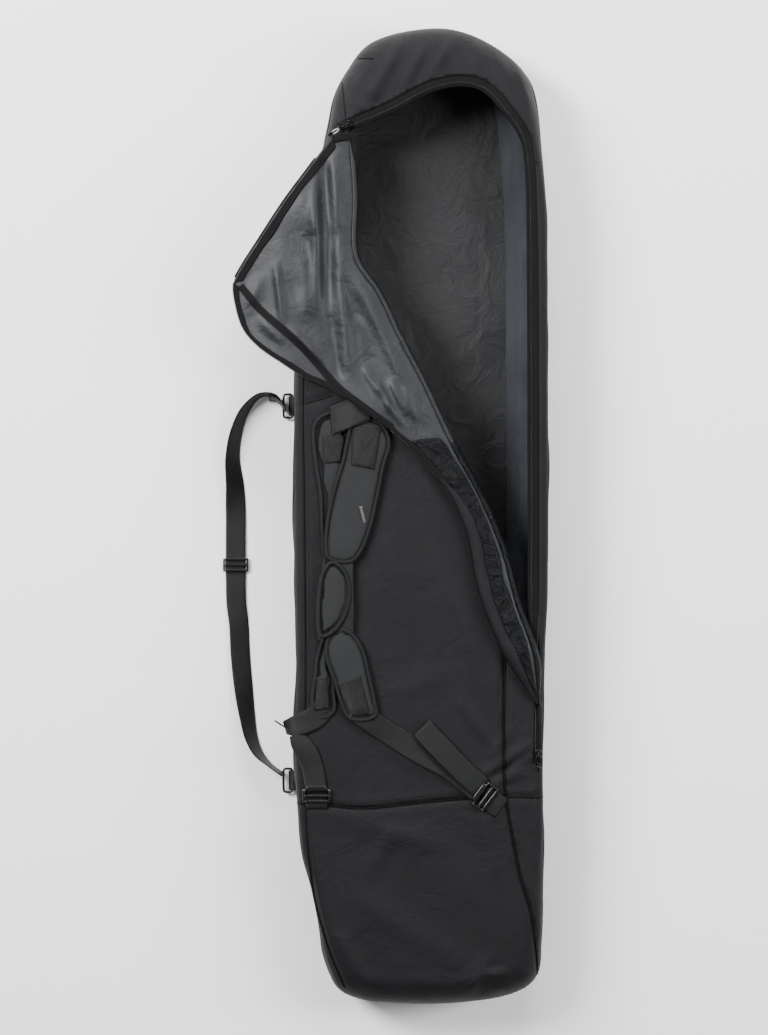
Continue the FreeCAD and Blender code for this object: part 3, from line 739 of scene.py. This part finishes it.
def make_panels():
    """The five panels of the top, each bounded by the bag's edge, the seams and the flap's fold."""
    crossing_x = 141
    seam_end_y = -85
    fold = smooth(FOLD, 6)
    _, seam_cross, seam_right = SEAMS
    cross_front = seam_cross[seam_cross[:, 0] < crossing_x][1:]
    upper_right = seam_right[seam_right[:, 1] > -470][::-1]
    lower_right = seam_right[seam_right[:, 1] < -474][::-1]
    fold_left = fold[fold[:, 1] > seam_end_y][::-1]
    fold_right = fold[fold[:, 1] < seam_end_y][::-1]
    panels = {
        "hood": [between(OUTLINE_RING, (204, 600), (-152, 664)), smooth(ZIP_ARC, 6)],
        "front_panel": [between(OUTLINE_RING, (-153, 662), (-209, -486)), cross_front, upper_right, fold_left,
                        [(-124, 659), (-140, 655)]],
        "tail_panel": [between(OUTLINE_RING, (-209, -492), (195, -778)), lower_right, cross_front[::-1]],
        "gusset_right": [between(OUTLINE_RING, (200, -770), (205, -418)), [(188, -418), (189, -330)],
                         fold_right[1:], seam_right[1:]],
        "side_rim": [between(OUTLINE_RING, (205, -410), (204, 594)), smooth(ZIP_SIDE, 8)]}
    edge_step, spacing, thick = 6, 7.0, 1.6
    rings = np.vstack([inset_loop(inset) for inset in EDGE_RINGS])
    for name, sides in panels.items():
        loop = np.vstack(sides)
        loop = even(np.vstack([loop, loop[:1]]), edge_step)[:-1]
        slab(name, loop, spacing, panel_height, thick, SHELL, "bag", rings)


def make_seams():
    """Piping along the seams, with a row of stitches each side of the long ones."""
    beside = 7.0
    clear_of_edge = 6
    for name, seam in zip(("left_piping", "cross_piping", "right_piping"), SEAMS):
        sweep(name, on_surface(seam, panel_height, 1.3), circle(1.5, 8), TAPE, "bag")
        for letter, side in (("a", -beside), ("b", beside)):
            row = seam + normals(seam) * side
            row = row[distance(OUTLINE_RING, row) > clear_of_edge]
            stitches(f"{name}_stitch_{letter}", on_surface(row, panel_height, 0.25), "bag")
    for name, seam in (("hood_seam", HOOD_SEAM), ("hood_dart", HOOD_DART), ("side_seam", SIDE_SEAM)):
        sweep(name, on_surface(seam, panel_height, 0.6), circle(1.0, 6), TAPE, "bag")


def make_inside():
    """Coated lining: padded floor and leaning walls that crease a little."""
    def floor_height(xy):
        edge = distance(OUTLINE_RING, xy)
        return FLOOR_LINING + 2.5 + ripple(xy, 55, 1.0) + 5 * (1 - step_up(edge, 20, 60)) ** 2
    pad = slab("floor_lining", inset_loop(20)[::2], 14, floor_height, 9, INSIDE_LINING_AND_FOLD_SHADE, "bag")
    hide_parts("back_lining", "back_foam")
    along = np.arange(len(OUTLINE)) * OUTLINE_STEP
    foot = FLOOR_LINING + 4
    rows = []
    for inset, share in ((34, 0.06), (23, 0.16), (17, 0.34), (13, 0.54), (11, 0.74), (10, 0.9), (10, 1.0)):
        z_top = TOP - 8 - (edge_radius(OUTLINE) - SIDE_RADIUS) * 0.55
        z = foot + share * (z_top - foot)
        crease = 8 * np.sin(along / 31 + 3 * share) * np.sin(along / 79) * math.sin(share * math.pi)
        lean = (inset - 10) * (1 + 1.1 * step_up(OUTLINE[:, 0], 120, 190)) + 14
        loop = OUTLINE + INWARD * (lean + np.abs(crease))[:, None]
        rows.append(np.column_stack([loop, z]))
    # The inside walls take the lightened lining copy: painted light on walls that stand in shade.
    grid_piece("wall_lining", rows, WALL_LINING_PAINTED_LIGHT, "bag", thickness=-1.0, closed=True)


def make_body_zip():
    """Zip tape and coil round the mouth."""
    line = smooth(ZIP_ARC[:-1] + ZIP_SIDE, 5)
    inward = normals(line) * -1
    rows = []
    for reach in np.linspace(-3, 19, 8):
        path = line + inward * reach
        rows.append(np.column_stack([path, panel_height(line) - 2.4 - 0.006 * reach ** 2]))
    grid_piece("zip_tape", rows, TAPE, "bag", thickness=0.9)
    add_coil("zip_coil", np.column_stack([line + inward * 12, panel_height(line) - 1.9]), "bag")


def add_coil(name, path, body=None, radius=1.5):
    """A zip's coil: thin wire in a helix that winds round a path."""
    fine = even(path, COIL_PITCH / 6)
    along = np.gradient(fine, axis=0)
    along /= np.linalg.norm(along, axis=1)[:, None]
    side = np.cross(along, UP)
    side /= np.linalg.norm(side, axis=1)[:, None]
    turn = (np.arange(len(fine)) * 2 * math.pi / 6)[:, None]
    helix = fine + side * np.cos(turn) * radius + np.cross(side, along) * np.sin(turn) * radius * 0.7
    return sweep(name, helix, circle(COIL_WIRE, 4), COIL, body)


make_walls()
make_back()
make_panels()
make_seams()
make_inside()
make_body_zip()


# ---------------------------------------------------------------- flap

FOLD_LINE = smooth(FOLD, FLAP_STEP)
EDGE_LINE = smooth(FREE_EDGE, FLAP_STEP)
FLAP_LOOP = np.vstack([EDGE_LINE[:-1], FOLD_LINE[::-1]])
FLAP_RISE = FLAP_BOTTOM - TOP + 3.0
TIP_SHARE = 0.3
TAPE_THICK = 0.8
FLAP_FOLDS = [(-212, 560, -172, 470, 20, 9), (-164, 604, -156, 490, 10, -7), (-156, 490, -157, 340, 10, -8),
              (-157, 340, -138, 226, 10, -8), (-180, 590, -174, 350, 9, 9), (-140, 450, -122, 250, 10, 8),
              (-122, 452, -22, 208, 13, 11), (-143, 430, -82, 250, 8, -4), (-244, 420, -232, 322, 6, 8),
              (-226, 322, -164, 256, 8, 8), (-200, 440, -190, 330, 12, 5), (-52, 226, -26, 170, 6, 9),
              (-30, 216, -10, 160, 5, 7), (-74, 224, -50, 176, 6, 7), (-96, 250, -70, 200, 7, 6),
              (-270, 400, -290, 350, 10, 4), (-60, 190, -30, 150, 5, 6), (-148, 600, -140, 470, 12, 9),
              (-272, 330, -230, 290, 9, 5), (-112, 330, -90, 270, 7, 5)]


def flap_rise(xy):
    """Rise of the flap over the panel: it settles onto the zip at its lower tip."""
    return FLAP_RISE * (TIP_SHARE + (1 - TIP_SHARE) * step_up(xy[:, 1], -322, -215))


def flap_height(xy):
    """Underside of the flap: level at its fold, creased, drooping past the bag's side."""
    to_fold = distance(FOLD_LINE, xy)
    free = step_up(to_fold, 2, 34)
    to_edge = distance(EDGE_LINE, xy)
    calm = 0.3 + 0.7 * step_up(to_edge, 4, 26)
    over_straps = 7.5 * np.exp(-(np.linalg.norm(xy - np.array([-84, 172]), axis=1) / 55) ** 2)
    droop = -16 * step_up(-xy[:, 0], 215, 320)
    wide = step_up(xy[:, 1], 60, 190)
    puff = 3 * np.exp(-((to_fold - 16) / 14) ** 2)
    return (TOP + flap_rise(xy) + puff * (0.4 + 0.6 * wide) + free * (over_straps + droop)
            + free * calm * (ridges(xy, FLAP_FOLDS) * wide * 0.9 + ripple(xy, 23, 0.7)))


def make_flap():
    """Shell below and coated lining above, with the roll of cloth at the fold."""
    shell_thick = 1.1
    lining_top = 2.4
    roll_reach = 7.5
    loop = even(np.vstack([FLAP_LOOP, FLAP_LOOP[:1]]), FLAP_STEP)[:-1]
    shell = slab("flap_shell", loop, 6, lambda xy: flap_height(xy) + shell_thick, shell_thick, SHELL, "flap")
    lining = slab("flap_lining", loop, 5, lambda xy: flap_height(xy) + lining_top, 1.0, LINING, "flap")
    outward = -inward_normals(FOLD_LINE, FLAP_LOOP, 40)
    place = np.arange(len(FOLD_LINE))
    taper = np.clip(np.minimum(place / 10, place[::-1] / 12), 0.3, 1)
    y = FOLD_LINE[:, 1]
    facing_end, overlap = 116, 8
    # The roll's lining takes the darker floor lining and its shell the darker shell copy: painted shade along
    # the fold.
    for name, grow, material, kept in (("fold_roll_lining", 1.0, INSIDE_LINING_AND_FOLD_SHADE, y > facing_end),
                                       ("fold_roll_facing", 1.3, FACING, y < facing_end + overlap),
                                       ("fold_roll_shell", -0.6, SHELL_PAINTED_SHADE, y > y.min() - 1)):
        rows = []
        low = TOP - 1.5 - grow
        high = TOP + flap_rise(FOLD_LINE) + 2.3 + grow * 0.6
        for turn in np.linspace(-90, 90, 15):
            angle = math.radians(turn)
            reach = (roll_reach + grow) * math.cos(angle) ** 0.8
            z = (low + high) / 2 + (high - low) / 2 * math.sin(angle)
            path = FOLD_LINE + outward * (reach * taper)[:, None]
            rows.append(np.column_stack([path, z])[kept])
        roll = grid_piece(name, rows, material, thickness=1.0)
        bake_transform(roll)


def edge_band(name, start, end, near, far, lift, material, puff=0.0, taper=1.4):
    """A strip on the flap, between two distances in from its free edge."""
    line = between(EDGE_LINE, start, end)
    inward = inward_normals(line, FLAP_LOOP, len(line) // 2)
    rows = []
    run = np.arange(len(line)) * FLAP_STEP
    wobble = 1.1 * np.sin(run / 23) + 0.7 * np.sin(run / 9.7 + 1)
    room = distance(FOLD_LINE, line) * 0.9
    ends = np.minimum(run, run[::-1])
    room = np.minimum(room, 1.5 + ends * taper)
    for share in np.linspace(0, 1, 8):
        reach = np.minimum(near + share * (far - near + wobble), room)
        path = line + inward * reach[:, None]
        swell = puff * math.sin(share * math.pi) * np.clip(room / 20, 0, 1)
        rows.append(np.column_stack([path, flap_height(path) + 2.5 + lift + swell + 0.25 * np.abs(wobble)]))
    grid_piece(name, rows, material, "flap", thickness=-TAPE_THICK)


def flap_strip(name, line, offsets, lift):
    """A tape on the flap along a plan line, from the first to the last offset to its left."""
    rows = [on_surface(line + normals(line) * offset, flap_height, lift) for offset in offsets]
    grid_piece(name, rows, TAPE, "flap", thickness=-TAPE_THICK)


def make_flap_trim():
    """Tapes, facing, the roll beside it, the inner seam and the flap's half of the zip."""
    start, corner, end = (-150, 634), (-316, 390), (190, -310)
    edge_band("flap_seam_tape", start, corner, 3, 15, 0.9, TAPE)
    top_edge = smooth([(-149, 629), (-138, 632), (-119, 635)], 4)
    flap_strip("flap_top_tape", top_edge, (-7, -3.5, 0, 3, 5.5), 3.7)
    edge_band("flap_zip_tape", corner, end, 0.5, 8, 1.1, TAPE)
    edge_band("flap_facing", (-26, 122), end, 6, 46, 0.7, FACING)
    edge_band("flap_rim_roll", (30, 58), end, -1, 21, 1.2, SHELL, puff=4.5, taper=0.22)
    inner_seam = smooth([(-304, 386), (-272, 347), (-236, 315), (-200, 282), (-171, 250), (-142, 217),
                         (-92, 178), (-50, 148)], 5)
    flap_strip("flap_inner_seam", inner_seam, (-6, -3, 0, 3, 6), 3.2)
    for letter, offset in (("a", -4.4), ("b", 4.4)):
        row = inner_seam + normals(inner_seam) * offset
        stitches(f"flap_stitch_{letter}", on_surface(row, flap_height, 3.6), "flap")
    add_coil("flap_zip_coil", on_surface(between(EDGE_LINE, corner, end), flap_height, 2.6), "flap")


def make_gusset():
    """The flap's nose-end gusset, hanging outside the left wall."""
    line = between(EDGE_LINE, (-178, 598), (-312, 402))
    share = np.linspace(0, 1, len(line))
    longest_drop = 143
    depth = longest_drop * np.sin(np.clip(share * 1.02, 0, 1) * math.pi) ** 0.55 + 3
    outward = -inward_normals(line, FLAP_LOOP, 20)
    top = flap_height(line)
    # The gusset's shell takes the darker shell copy: painted shade where it hangs down the side.
    for name, push, material in (("flap_gusset_shell", 0.0, SHELL_PAINTED_SHADE), ("flap_gusset_lining", 1.6, LINING)):
        rows = []
        for down in np.linspace(0, 1, 20):
            wave = -np.abs(7.0 * np.sin(share * 11 + down * 2.2) * math.sin(down * math.pi * 0.8)
                           + 2.6 * np.sin(share * 27 - down * 5) * down) - 4 * step_up(down, 0, 0.5)
            wave = wave * step_up(share, 0.12, 0.3)
            path = line + outward * (push + wave * step_up(down, 0, 0.3))[:, None]
            rows.append(np.column_stack([path, top + 1 - down * np.minimum(depth, top - 4)]))
        panel = grid_piece(name, rows, material, thickness=1.0)
        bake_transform(panel)
    coil = add_coil("flap_gusset_coil", rows[-1][4:-4], radius=1.4)
    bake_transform(coil)


make_flap()
make_flap_trim()
make_gusset()


# ---------------------------------------------------------------- shoulder straps

def pad(name, points, bottom, thick, body, dome=0.35, blend=None):
    """A crowned foam pad whose sides pull in, with a bound and stitched edge."""
    loop = smooth(points, 4, closed=True)
    ring = np.vstack([loop, loop[:1]])
    rider = None if blend else body

    def crown(xy):
        d = distance(ring, xy)
        return (bottom + thick * (1 - dome) * np.sqrt(step_up(d, -1, 5)) + thick * dome * step_up(d, 3, 22)
                + 0.5 * ripple(xy, 16, 0.6))
    foam = slab(name, loop, 4, crown, lambda xy: crown(xy) - bottom, PAD, rider)
    inflate(foam, bottom * MM)
    edge = np.column_stack([loop, np.full(len(loop), bottom + thick * 0.34)])
    bound = sweep(f"{name}_binding", edge, circle(3.6, 10, thick * 0.1 + 0.15), BINDING, rider, loop=True)
    inward = inward_normals(loop, loop, 0, closed=True)
    thread = stitches(f"{name}_stitch", on_surface(loop + inward * 5.4, crown, 0.2), rider)
    bend_between((foam, bound, thread), blend)
    return crown


def patch(name, points, height, body, material=STRAP, thick=1.0, crossed=False, blend=None):
    """A flat piece sewn on, stitched round its edge and, where asked, crosswise."""
    loop = even(np.array(points + points[:1], float), 3)[:-1]
    rider = None if blend else body
    pieces = [slab(name, loop, 4, lambda xy: height(xy) + thick, thick, material, rider)]
    centre = loop.mean(0)
    row = centre + (loop - centre) * 0.84
    rows = {"stitch": np.vstack([row, row[:1]])}
    if crossed:
        corners = [centre + (np.array(point) - centre) * 0.8 for point in points[:4]]
        rows["cross_a"] = np.linspace(corners[0], corners[2], 12)
        rows["cross_b"] = np.linspace(corners[1], corners[3], 12)
    for label, line in rows.items():
        path = on_surface(line, height, thick + 0.25)
        pieces.append(stitches(f"{name}_{label}", path, rider, pitch=3.6, long=2.4))
    bend_between(pieces, blend)


def inflate(piece, floor, start_share=0.8, cap=1.3 * MM, voxel=3.2 * MM, frames=20):
    """Swell a pad with a short cloth run under pressure, kept above what it rests on."""
    scene = bpy.context.scene
    for vertex in piece.data.vertices:
        vertex.co.z = floor + (vertex.co.z - floor) * start_share
    remesh = piece.modifiers.new("remesh", "REMESH")
    remesh.mode, remesh.voxel_size = "VOXEL", voxel
    graph = bpy.context.evaluated_depsgraph_get()
    mesh = bpy.data.meshes.new_from_object(piece.evaluated_get(graph))
    piece.modifiers.clear()
    work = bpy.data.objects.new(piece.name + "_cloth", mesh)
    scene.collection.objects.link(work)
    count = len(mesh.vertices)
    before = np.empty(count * 3)
    mesh.vertices.foreach_get("co", before)
    cloth = work.modifiers.new("cloth", "CLOTH")
    cloth.settings.quality = 5
    cloth.settings.use_pressure = True
    cloth.settings.uniform_pressure_force = 4.0
    cloth.settings.effector_weights.gravity = 0.0
    cloth.point_cache.frame_start, cloth.point_cache.frame_end = 1, frames
    for frame_number in range(1, frames + 1):
        scene.frame_set(frame_number)
    after = np.empty(count * 3)
    work.evaluated_get(bpy.context.evaluated_depsgraph_get()).data.vertices.foreach_get("co", after)
    scene.frame_set(1)
    before, after = before.reshape(-1, 3), after.reshape(-1, 3)
    move = after - before
    far = np.maximum(np.linalg.norm(move, axis=1), 1e-9)
    moved = before + move * np.minimum(1, cap / far)[:, None]
    moved[:, 2] = np.maximum(moved[:, 2], floor)
    bpy.data.objects.remove(work)
    mesh.vertices.foreach_set("co", moved.ravel())
    mesh.polygons.foreach_set("use_smooth", [True] * len(mesh.polygons))
    mesh.update()
    piece.data = mesh


RIGHT_PAD = [(-112, 160), (-123, 130), (-130, 96), (-145, 46), (-157, -9), (-160, -50), (-156, -70),
             (-138, -77), (-116, -75), (-103, -60), (-89, -26), (-77, 22), (-65, 82), (-55, 122),
             (-64, 148), (-86, 161)]
LEFT_PAD = [(-150, 172), (-171, 164), (-180, 150), (-181, 125), (-176, 82), (-169, 34), (-166, -31),
            (-161, -68), (-137, -70), (-127, -10), (-125, 100), (-128, 160)]
LOWER_RIGHT_PAD = [(-139, -190), (-156, -206), (-159, -234), (-145, -277), (-134, -313), (-122, -338),
                   (-100, -342), (-77, -334), (-79, -313), (-89, -267), (-99, -227), (-115, -201)]
LOWER_LEFT_PAD = [(-162, -205), (-174, -234), (-178, -267), (-183, -308), (-181, -332), (-165, -338),
                  (-148, -328), (-148, -290), (-150, -250), (-152, -212)]
WRAP = [(-150, -78), (-164, -94), (-171, -130), (-173, -162), (-171, -196), (-166, -202), (-145, -190),
        (-127, -162), (-121, -132), (-123, -108), (-132, -90)]


def make_straps():
    """Both shoulder straps' pads, with their patches and a blank label."""
    left_rest = bottom_of("shoulder_pad_left")
    right_rest = bottom_of("shoulder_pad_right")
    sewn = ("bag", (0, 0.150, 0.15), (0, 0.095, 0.15))
    tucked = ("bag", (0, 0.105, 0.15), (0, 0.035, 0.15))
    left = pad("shoulder_pad_left", LEFT_PAD, left_rest, 4.6, "left_strap", blend=sewn)
    right = pad("shoulder_pad_right", RIGHT_PAD, right_rest - 0.6, 8.6, "right_strap", blend=tucked)
    lower_right = pad("lower_pad_right", LOWER_RIGHT_PAD, right_rest - 1.6, 8.0, "right_strap")
    lower_left = pad("lower_pad_left", LOWER_LEFT_PAD, left_rest, 4.6, "left_strap")
    for name, corners, height, body, blend in (
            ("pad_patch_right", [(-116, 150), (-118, 85), (-79, 77), (-68, 146)], right,
             "right_strap", tucked),
            ("lower_patch_right", [(-142, -279), (-119, -336), (-85, -334), (-103, -267)], lower_right,
             "right_strap", None),
            ("pad_patch_left", [(-166, 134), (-164, 87), (-135, 89), (-128, 134)], left, "left_strap", sewn),
            ("lower_patch_left", [(-176, -270), (-180, -326), (-154, -324), (-158, -268)], lower_left,
             "left_strap", None)):
        patch(name, corners, height, body, crossed=True, blend=blend)
    patch("pad_label", [(-105, 15), (-99, 16), (-92, -12), (-98, -13)], right, "right_strap", LABEL,
          thick=0.9, blend=tucked)


def make_handle():
    """Webbing of both straps inside the grip, and the padded leaf round them."""
    z = bottom_of("handle_webbing_right")
    ribbon("handle_webbing_right", [(-134, -66, z + 1), (-134, -110, z + 3), (-133, -160, z + 3),
                                    (-134, -200, z + 1)], 40, "right_strap")
    low = bottom_of("handle_webbing_left")
    ribbon("handle_webbing_left", [(-150, -62, low + 1), (-155, -120, low + 1.4), (-160, -212, low + 1)], 30,
           "left_strap")
    rest = bottom_of("handle_wrap")
    hinge = ("right_strap", (-0.1613, -0.1406, 0.16), (-0.1503, -0.1420, 0.16))
    pad("handle_wrap", WRAP, rest + 0.4, 6.0, "grip_wrap", dome=0.5, blend=hinge)


def make_webbing():
    """Webbing from the lower pads through the ladder locks, and its loose tails."""
    z = bottom_of("webbing_right") + 1
    run = ribbon("webbing_right", [(-112, -322, z + 8), (-89, -342, z + 5), (-62, -360, z + 1), (3, -400, z),
                                   (46, -425, z), (96, -463, z + 2)], WEBBING, None,
                 scale=[1, 1, 1, 1, 0.9, 0.95], roll=[0, 0, 0, 4, 8, 0])
    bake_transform(run)
    tail = bottom_of("webbing_tail_right") + 1
    ribbon("webbing_tail_right", [(99, -455, tail + 1), (70, -428, tail + 3), (35, -392, tail + 4),
                                  (0, -355, tail + 2)], WEBBING, "right_strap", roll=[0, -4, -3, 0])
    low = bottom_of("webbing_left") + 1
    ribbon("webbing_left", [(-162, -319, low + 0.2), (-176, -336, low + 1.2), (-198, -348, low + 1),
                            (-217, -354, low - 3), (-229, -357, low - 13), (-224, -360, low - 26)], WEBBING,
           "left_strap", step=2, across=(-0.3, 0.95, 0), scale=[1, 1, 0.98, 0.84, 0.6, 0.45])
    down = ribbon("webbing_down_left", [(-213, -366, low + 1), (-205, -378, low + 3), (-192, -397, low + 3),
                                        (-182, -427, low + 1.5), (-176, -462, low + 2)], WEBBING * 0.95, None,
                  roll=[30, 14, 4, 0, 0], scale=[0.6, 0.9, 1, 1, 1])
    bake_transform(down)
    ribbon("webbing_tail_left", [(-217, -364, low - 20), (-232, -355, low - 19), (-247, -345, low - 20)],
           WEBBING * 0.8, "left_strap", across=(0.06, 0.1, 0.99))


def make_anchors():
    """Tabs sewn to the bag: the straps' top anchor, the ladder locks' and the rings'."""
    tab_z = bottom_of("top_anchor_tab")
    patch("top_anchor_tab", [(-154, 182), (-150, 134), (-86, 160), (-84, 186), (-120, 196)],
          lambda xy: tab_z + 9.5 * step_up(xy[:, 0], -150, -108), "bag", thick=1.4)
    z = TOP + TAB_RISE
    ribbon("lock_tab_right", [(104, -470, z + 1), (119, -480, z), (134, -491, z - 0.5)], WEBBING, "bag")
    ribbon("lock_tab_left", [(-176, -466, z + 1), (-176, -480, z), (-176, -492, z - 1)], WEBBING * 0.96,
           "bag")
    for side in ("upper", "lower"):
        low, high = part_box(f"ring_tab_{side}")
        y = (low.y + high.y) / 2 / MM
        z = (low.z + high.z) / 2 / MM
        loop = [(-211, y, z + 4), (-222, y, z + 4.4), (-227.5, y, z), (-222, y, z - 4.4), (-211, y, z - 4)]
        ribbon(f"ring_tab_{side}", loop, 34, "bag", step=2, across=(0, 1, 0))


# ---------------------------------------------------------------- hardware

def rounded_box(centre, size, angle, steps=5, power=4.0):
    """A superellipsoid block: vertices and faces."""
    u = np.linspace(-math.pi / 2, math.pi / 2, steps * 2 + 1)
    v = np.arange(steps * 4) * 2 * math.pi / (steps * 4)

    def bend(value):
        return np.sign(value) * np.abs(value) ** (2 / power)
    cu, su = bend(np.cos(u))[:, None], bend(np.sin(u))[:, None]
    x = cu * bend(np.cos(v))[None] * size[0] / 2
    y = cu * bend(np.sin(v))[None] * size[1] / 2
    z = np.repeat(su, len(v), axis=1) * size[2] / 2
    turn = math.radians(angle)
    px = centre[0] + x * math.cos(turn) - y * math.sin(turn)
    py = centre[1] + x * math.sin(turn) + y * math.cos(turn)
    rings = np.stack([px, py, centre[2] + z], 2)[1:-1]
    n, m = rings.shape[:2]
    faces = [(i * m + k, i * m + (k + 1) % m, (i + 1) * m + (k + 1) % m, (i + 1) * m + k)
             for i in range(n - 1) for k in range(m)]
    faces.append(tuple(reversed(range(m))))
    faces.append(tuple((n - 1) * m + k for k in range(m)))
    return rings.reshape(-1, 3), faces


def directions(angle):
    """Level unit vectors along and across a piece that is turned by an angle in degrees."""
    turn = math.radians(angle)
    run = np.array([math.cos(turn), math.sin(turn), 0])
    return run, np.array([-run[1], run[0], 0])


def ladder_lock(name, centre, angle):
    """Two side rails, three rungs and a lifted lip."""
    run, across = directions(angle)
    middle = np.array([centre[0], centre[1], TOP + LOCK_RISE])
    parts = []
    for side in (-21.5, 21.5):
        parts.append(rounded_box(middle + across * side, (24, 4.4, 6.4), angle))
    for ahead, rise, wide in ((-10, 0.4, 4.2), (0.4, 1.8, 3.8), (9.6, 0.2, 4.2)):
        parts.append(rounded_box(middle + run * ahead + UP * rise, (wide, 44, 4.0), angle))
    parts.append(rounded_box(middle - run * 13 + UP * 2.6, (6.5, 34, 2.2), angle))
    join(name, parts, BUCKLE, "bag")


def make_slider(name, centre, angle, reach):
    """Zip slider with its bridge, and a pull that turns on it."""
    run, across = directions(angle)
    middle = np.array([centre[0], centre[1], bottom_of(f"slider_{name}") + 2.2])
    parts = [rounded_box(middle + run * 3, (17, 12, 4.0), angle),
             rounded_box(middle - run * 6, (11, 8, 3.8), angle)]
    arch = ((9, 1), (6, 3.6), (0, 4.8), (-6, 3.6), (-9, 1))
    bridge = [middle + run * ahead + UP * rise for ahead, rise in arch]
    parts.append(sweep_mesh(smooth_3d(bridge, 1.5), circle(1.2, 6, 0.7)))
    join(f"slider_{name}", parts, METAL, f"{name}_slider")
    hub = np.array([centre[0], centre[1], bottom_of(f"pull_{name}") + 0.8])
    ring = [hub + across * 3, hub - run * 6 + across * 3.4, hub - run * 12 + across * 2.4, hub - run * 14,
            hub - run * 12 - across * 2.4, hub - run * 6 - across * 3.4, hub - across * 3, hub + run * 1.6]
    loop = smooth(ring, 1.2, closed=True)
    pull = [sweep_mesh(loop, circle(0.9, 6), loop=True)]
    pull.append(rounded_box(hub - run * (reach - 5), (10, 5.2, 3.6), angle))
    join(f"pull_{name}", pull, METAL, f"{name}_pull")
    if name != "upper":
        return
    strand = [hub - run * (reach - 8) + across * 1.8, hub - run * (reach / 2 + 3) + across * 2.4,
              hub - run * 13.5 + across * 1.2, hub - run * 12.6, hub - run * 13.5 - across * 1.2,
              hub - run * (reach / 2 + 3) - across * 2.4, hub - run * (reach - 8) - across * 1.8]
    sweep("pull_tie_upper", smooth(strand, 1.0), circle(0.75, 6), CORD, "upper_pull")


def make_carry_strap():
    """Long strap lying beside the bag, standing on edge at both ends, and the rings it hangs on."""
    low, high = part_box("carry_ring_upper")
    ring_z = (low.z + high.z) / 2 / MM
    route = [(-237, 190, 18, 84), (-250, 207, 18.4, 84), (-274, 209, 18.2, 80), (-300, 187, 17, 68),
             (-318, 146, 15.2, 56), (-325, 100, 13.2, 46), (-321, 50, 8.8, 26), (-320, 6, 4, 4),
             (-320, -38, 4, 0), (-320, -109, 4, 0), (-319, -150, 4, 2), (-314.5, -188, 5, 12),
             (-312, -239, 5.6, 14), (-307, -292, 7.6, 22), (-300, -345, 12, 40), (-292, -385, 15, 54),
             (-282, -408, 17, 66), (-260, -431, 18.2, 84), (-238, -447, 18, 84)]
    back = [(-234, 182, 17, 82), (-243, 196, 17.6, 82), (-252, 202, 18, 80), (-262, 202, 18, 76)]
    strap = ribbon("carry_strap", [p[:3] for p in route], CARRY, "carry_sling", roll=[p[3] for p in route])
    tail = ribbon("carry_strap_end", [p[:3] for p in back], CARRY * 0.9, "carry_sling", thickness=1.8,
                  roll=[p[3] for p in back])
    for piece in (strap, tail):
        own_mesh(piece)
    for side in ("upper", "lower"):
        low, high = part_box(f"carry_ring_{side}")
        y0, y1 = low.y / MM + 2, high.y / MM - 2
        x0, x1 = low.x / MM + 2, high.x / MM - 2.6
        plan = [(x1, y0 + 3), (x1 - 0.9, y0 + 0.9), (x1 - 3, y0), (x0 + 3, y0), (x0 + 0.9, y0 + 0.9),
                (x0, y0 + 3), (x0, y1 - 3), (x0 + 0.9, y1 - 0.9), (x0 + 3, y1), (x1 - 3, y1),
                (x1 - 0.9, y1 - 0.9), (x1, y1 - 3)]
        path = smooth([(x, y, ring_z) for x, y in plan], 2, closed=True)
        sweep(f"carry_ring_{side}", path, circle(2.2, 8), BUCKLE, "carry_sling", loop=True)


def make_adjuster():
    """Tri-glide: two side rails under three bars."""
    low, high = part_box("tri_glide")
    x, y = (low.x + high.x) / 2 / MM, (low.y + high.y) / 2 / MM
    parts = []
    for side in (-20.6, 20.6):
        parts.append(rounded_box((x + side, y, 4.6), (3.2, 24, 5.6), 0))
    for ahead in (-9.5, 0, 9.5):
        parts.append(rounded_box((x, y + ahead, 7.4), (42, 4.4, 2.4), 0))
    join("tri_glide", parts, BUCKLE, "sling_adjuster")


make_straps()
make_handle()
make_webbing()
make_anchors()
ladder_lock("ladder_lock_right", (107, -471), -37)
ladder_lock("ladder_lock_left", (-176, -469), -90)
make_slider("upper", (-128, 654), 31, 34)
make_slider("lower", (196, -403), 90, 26)
make_carry_strap()
make_adjuster()
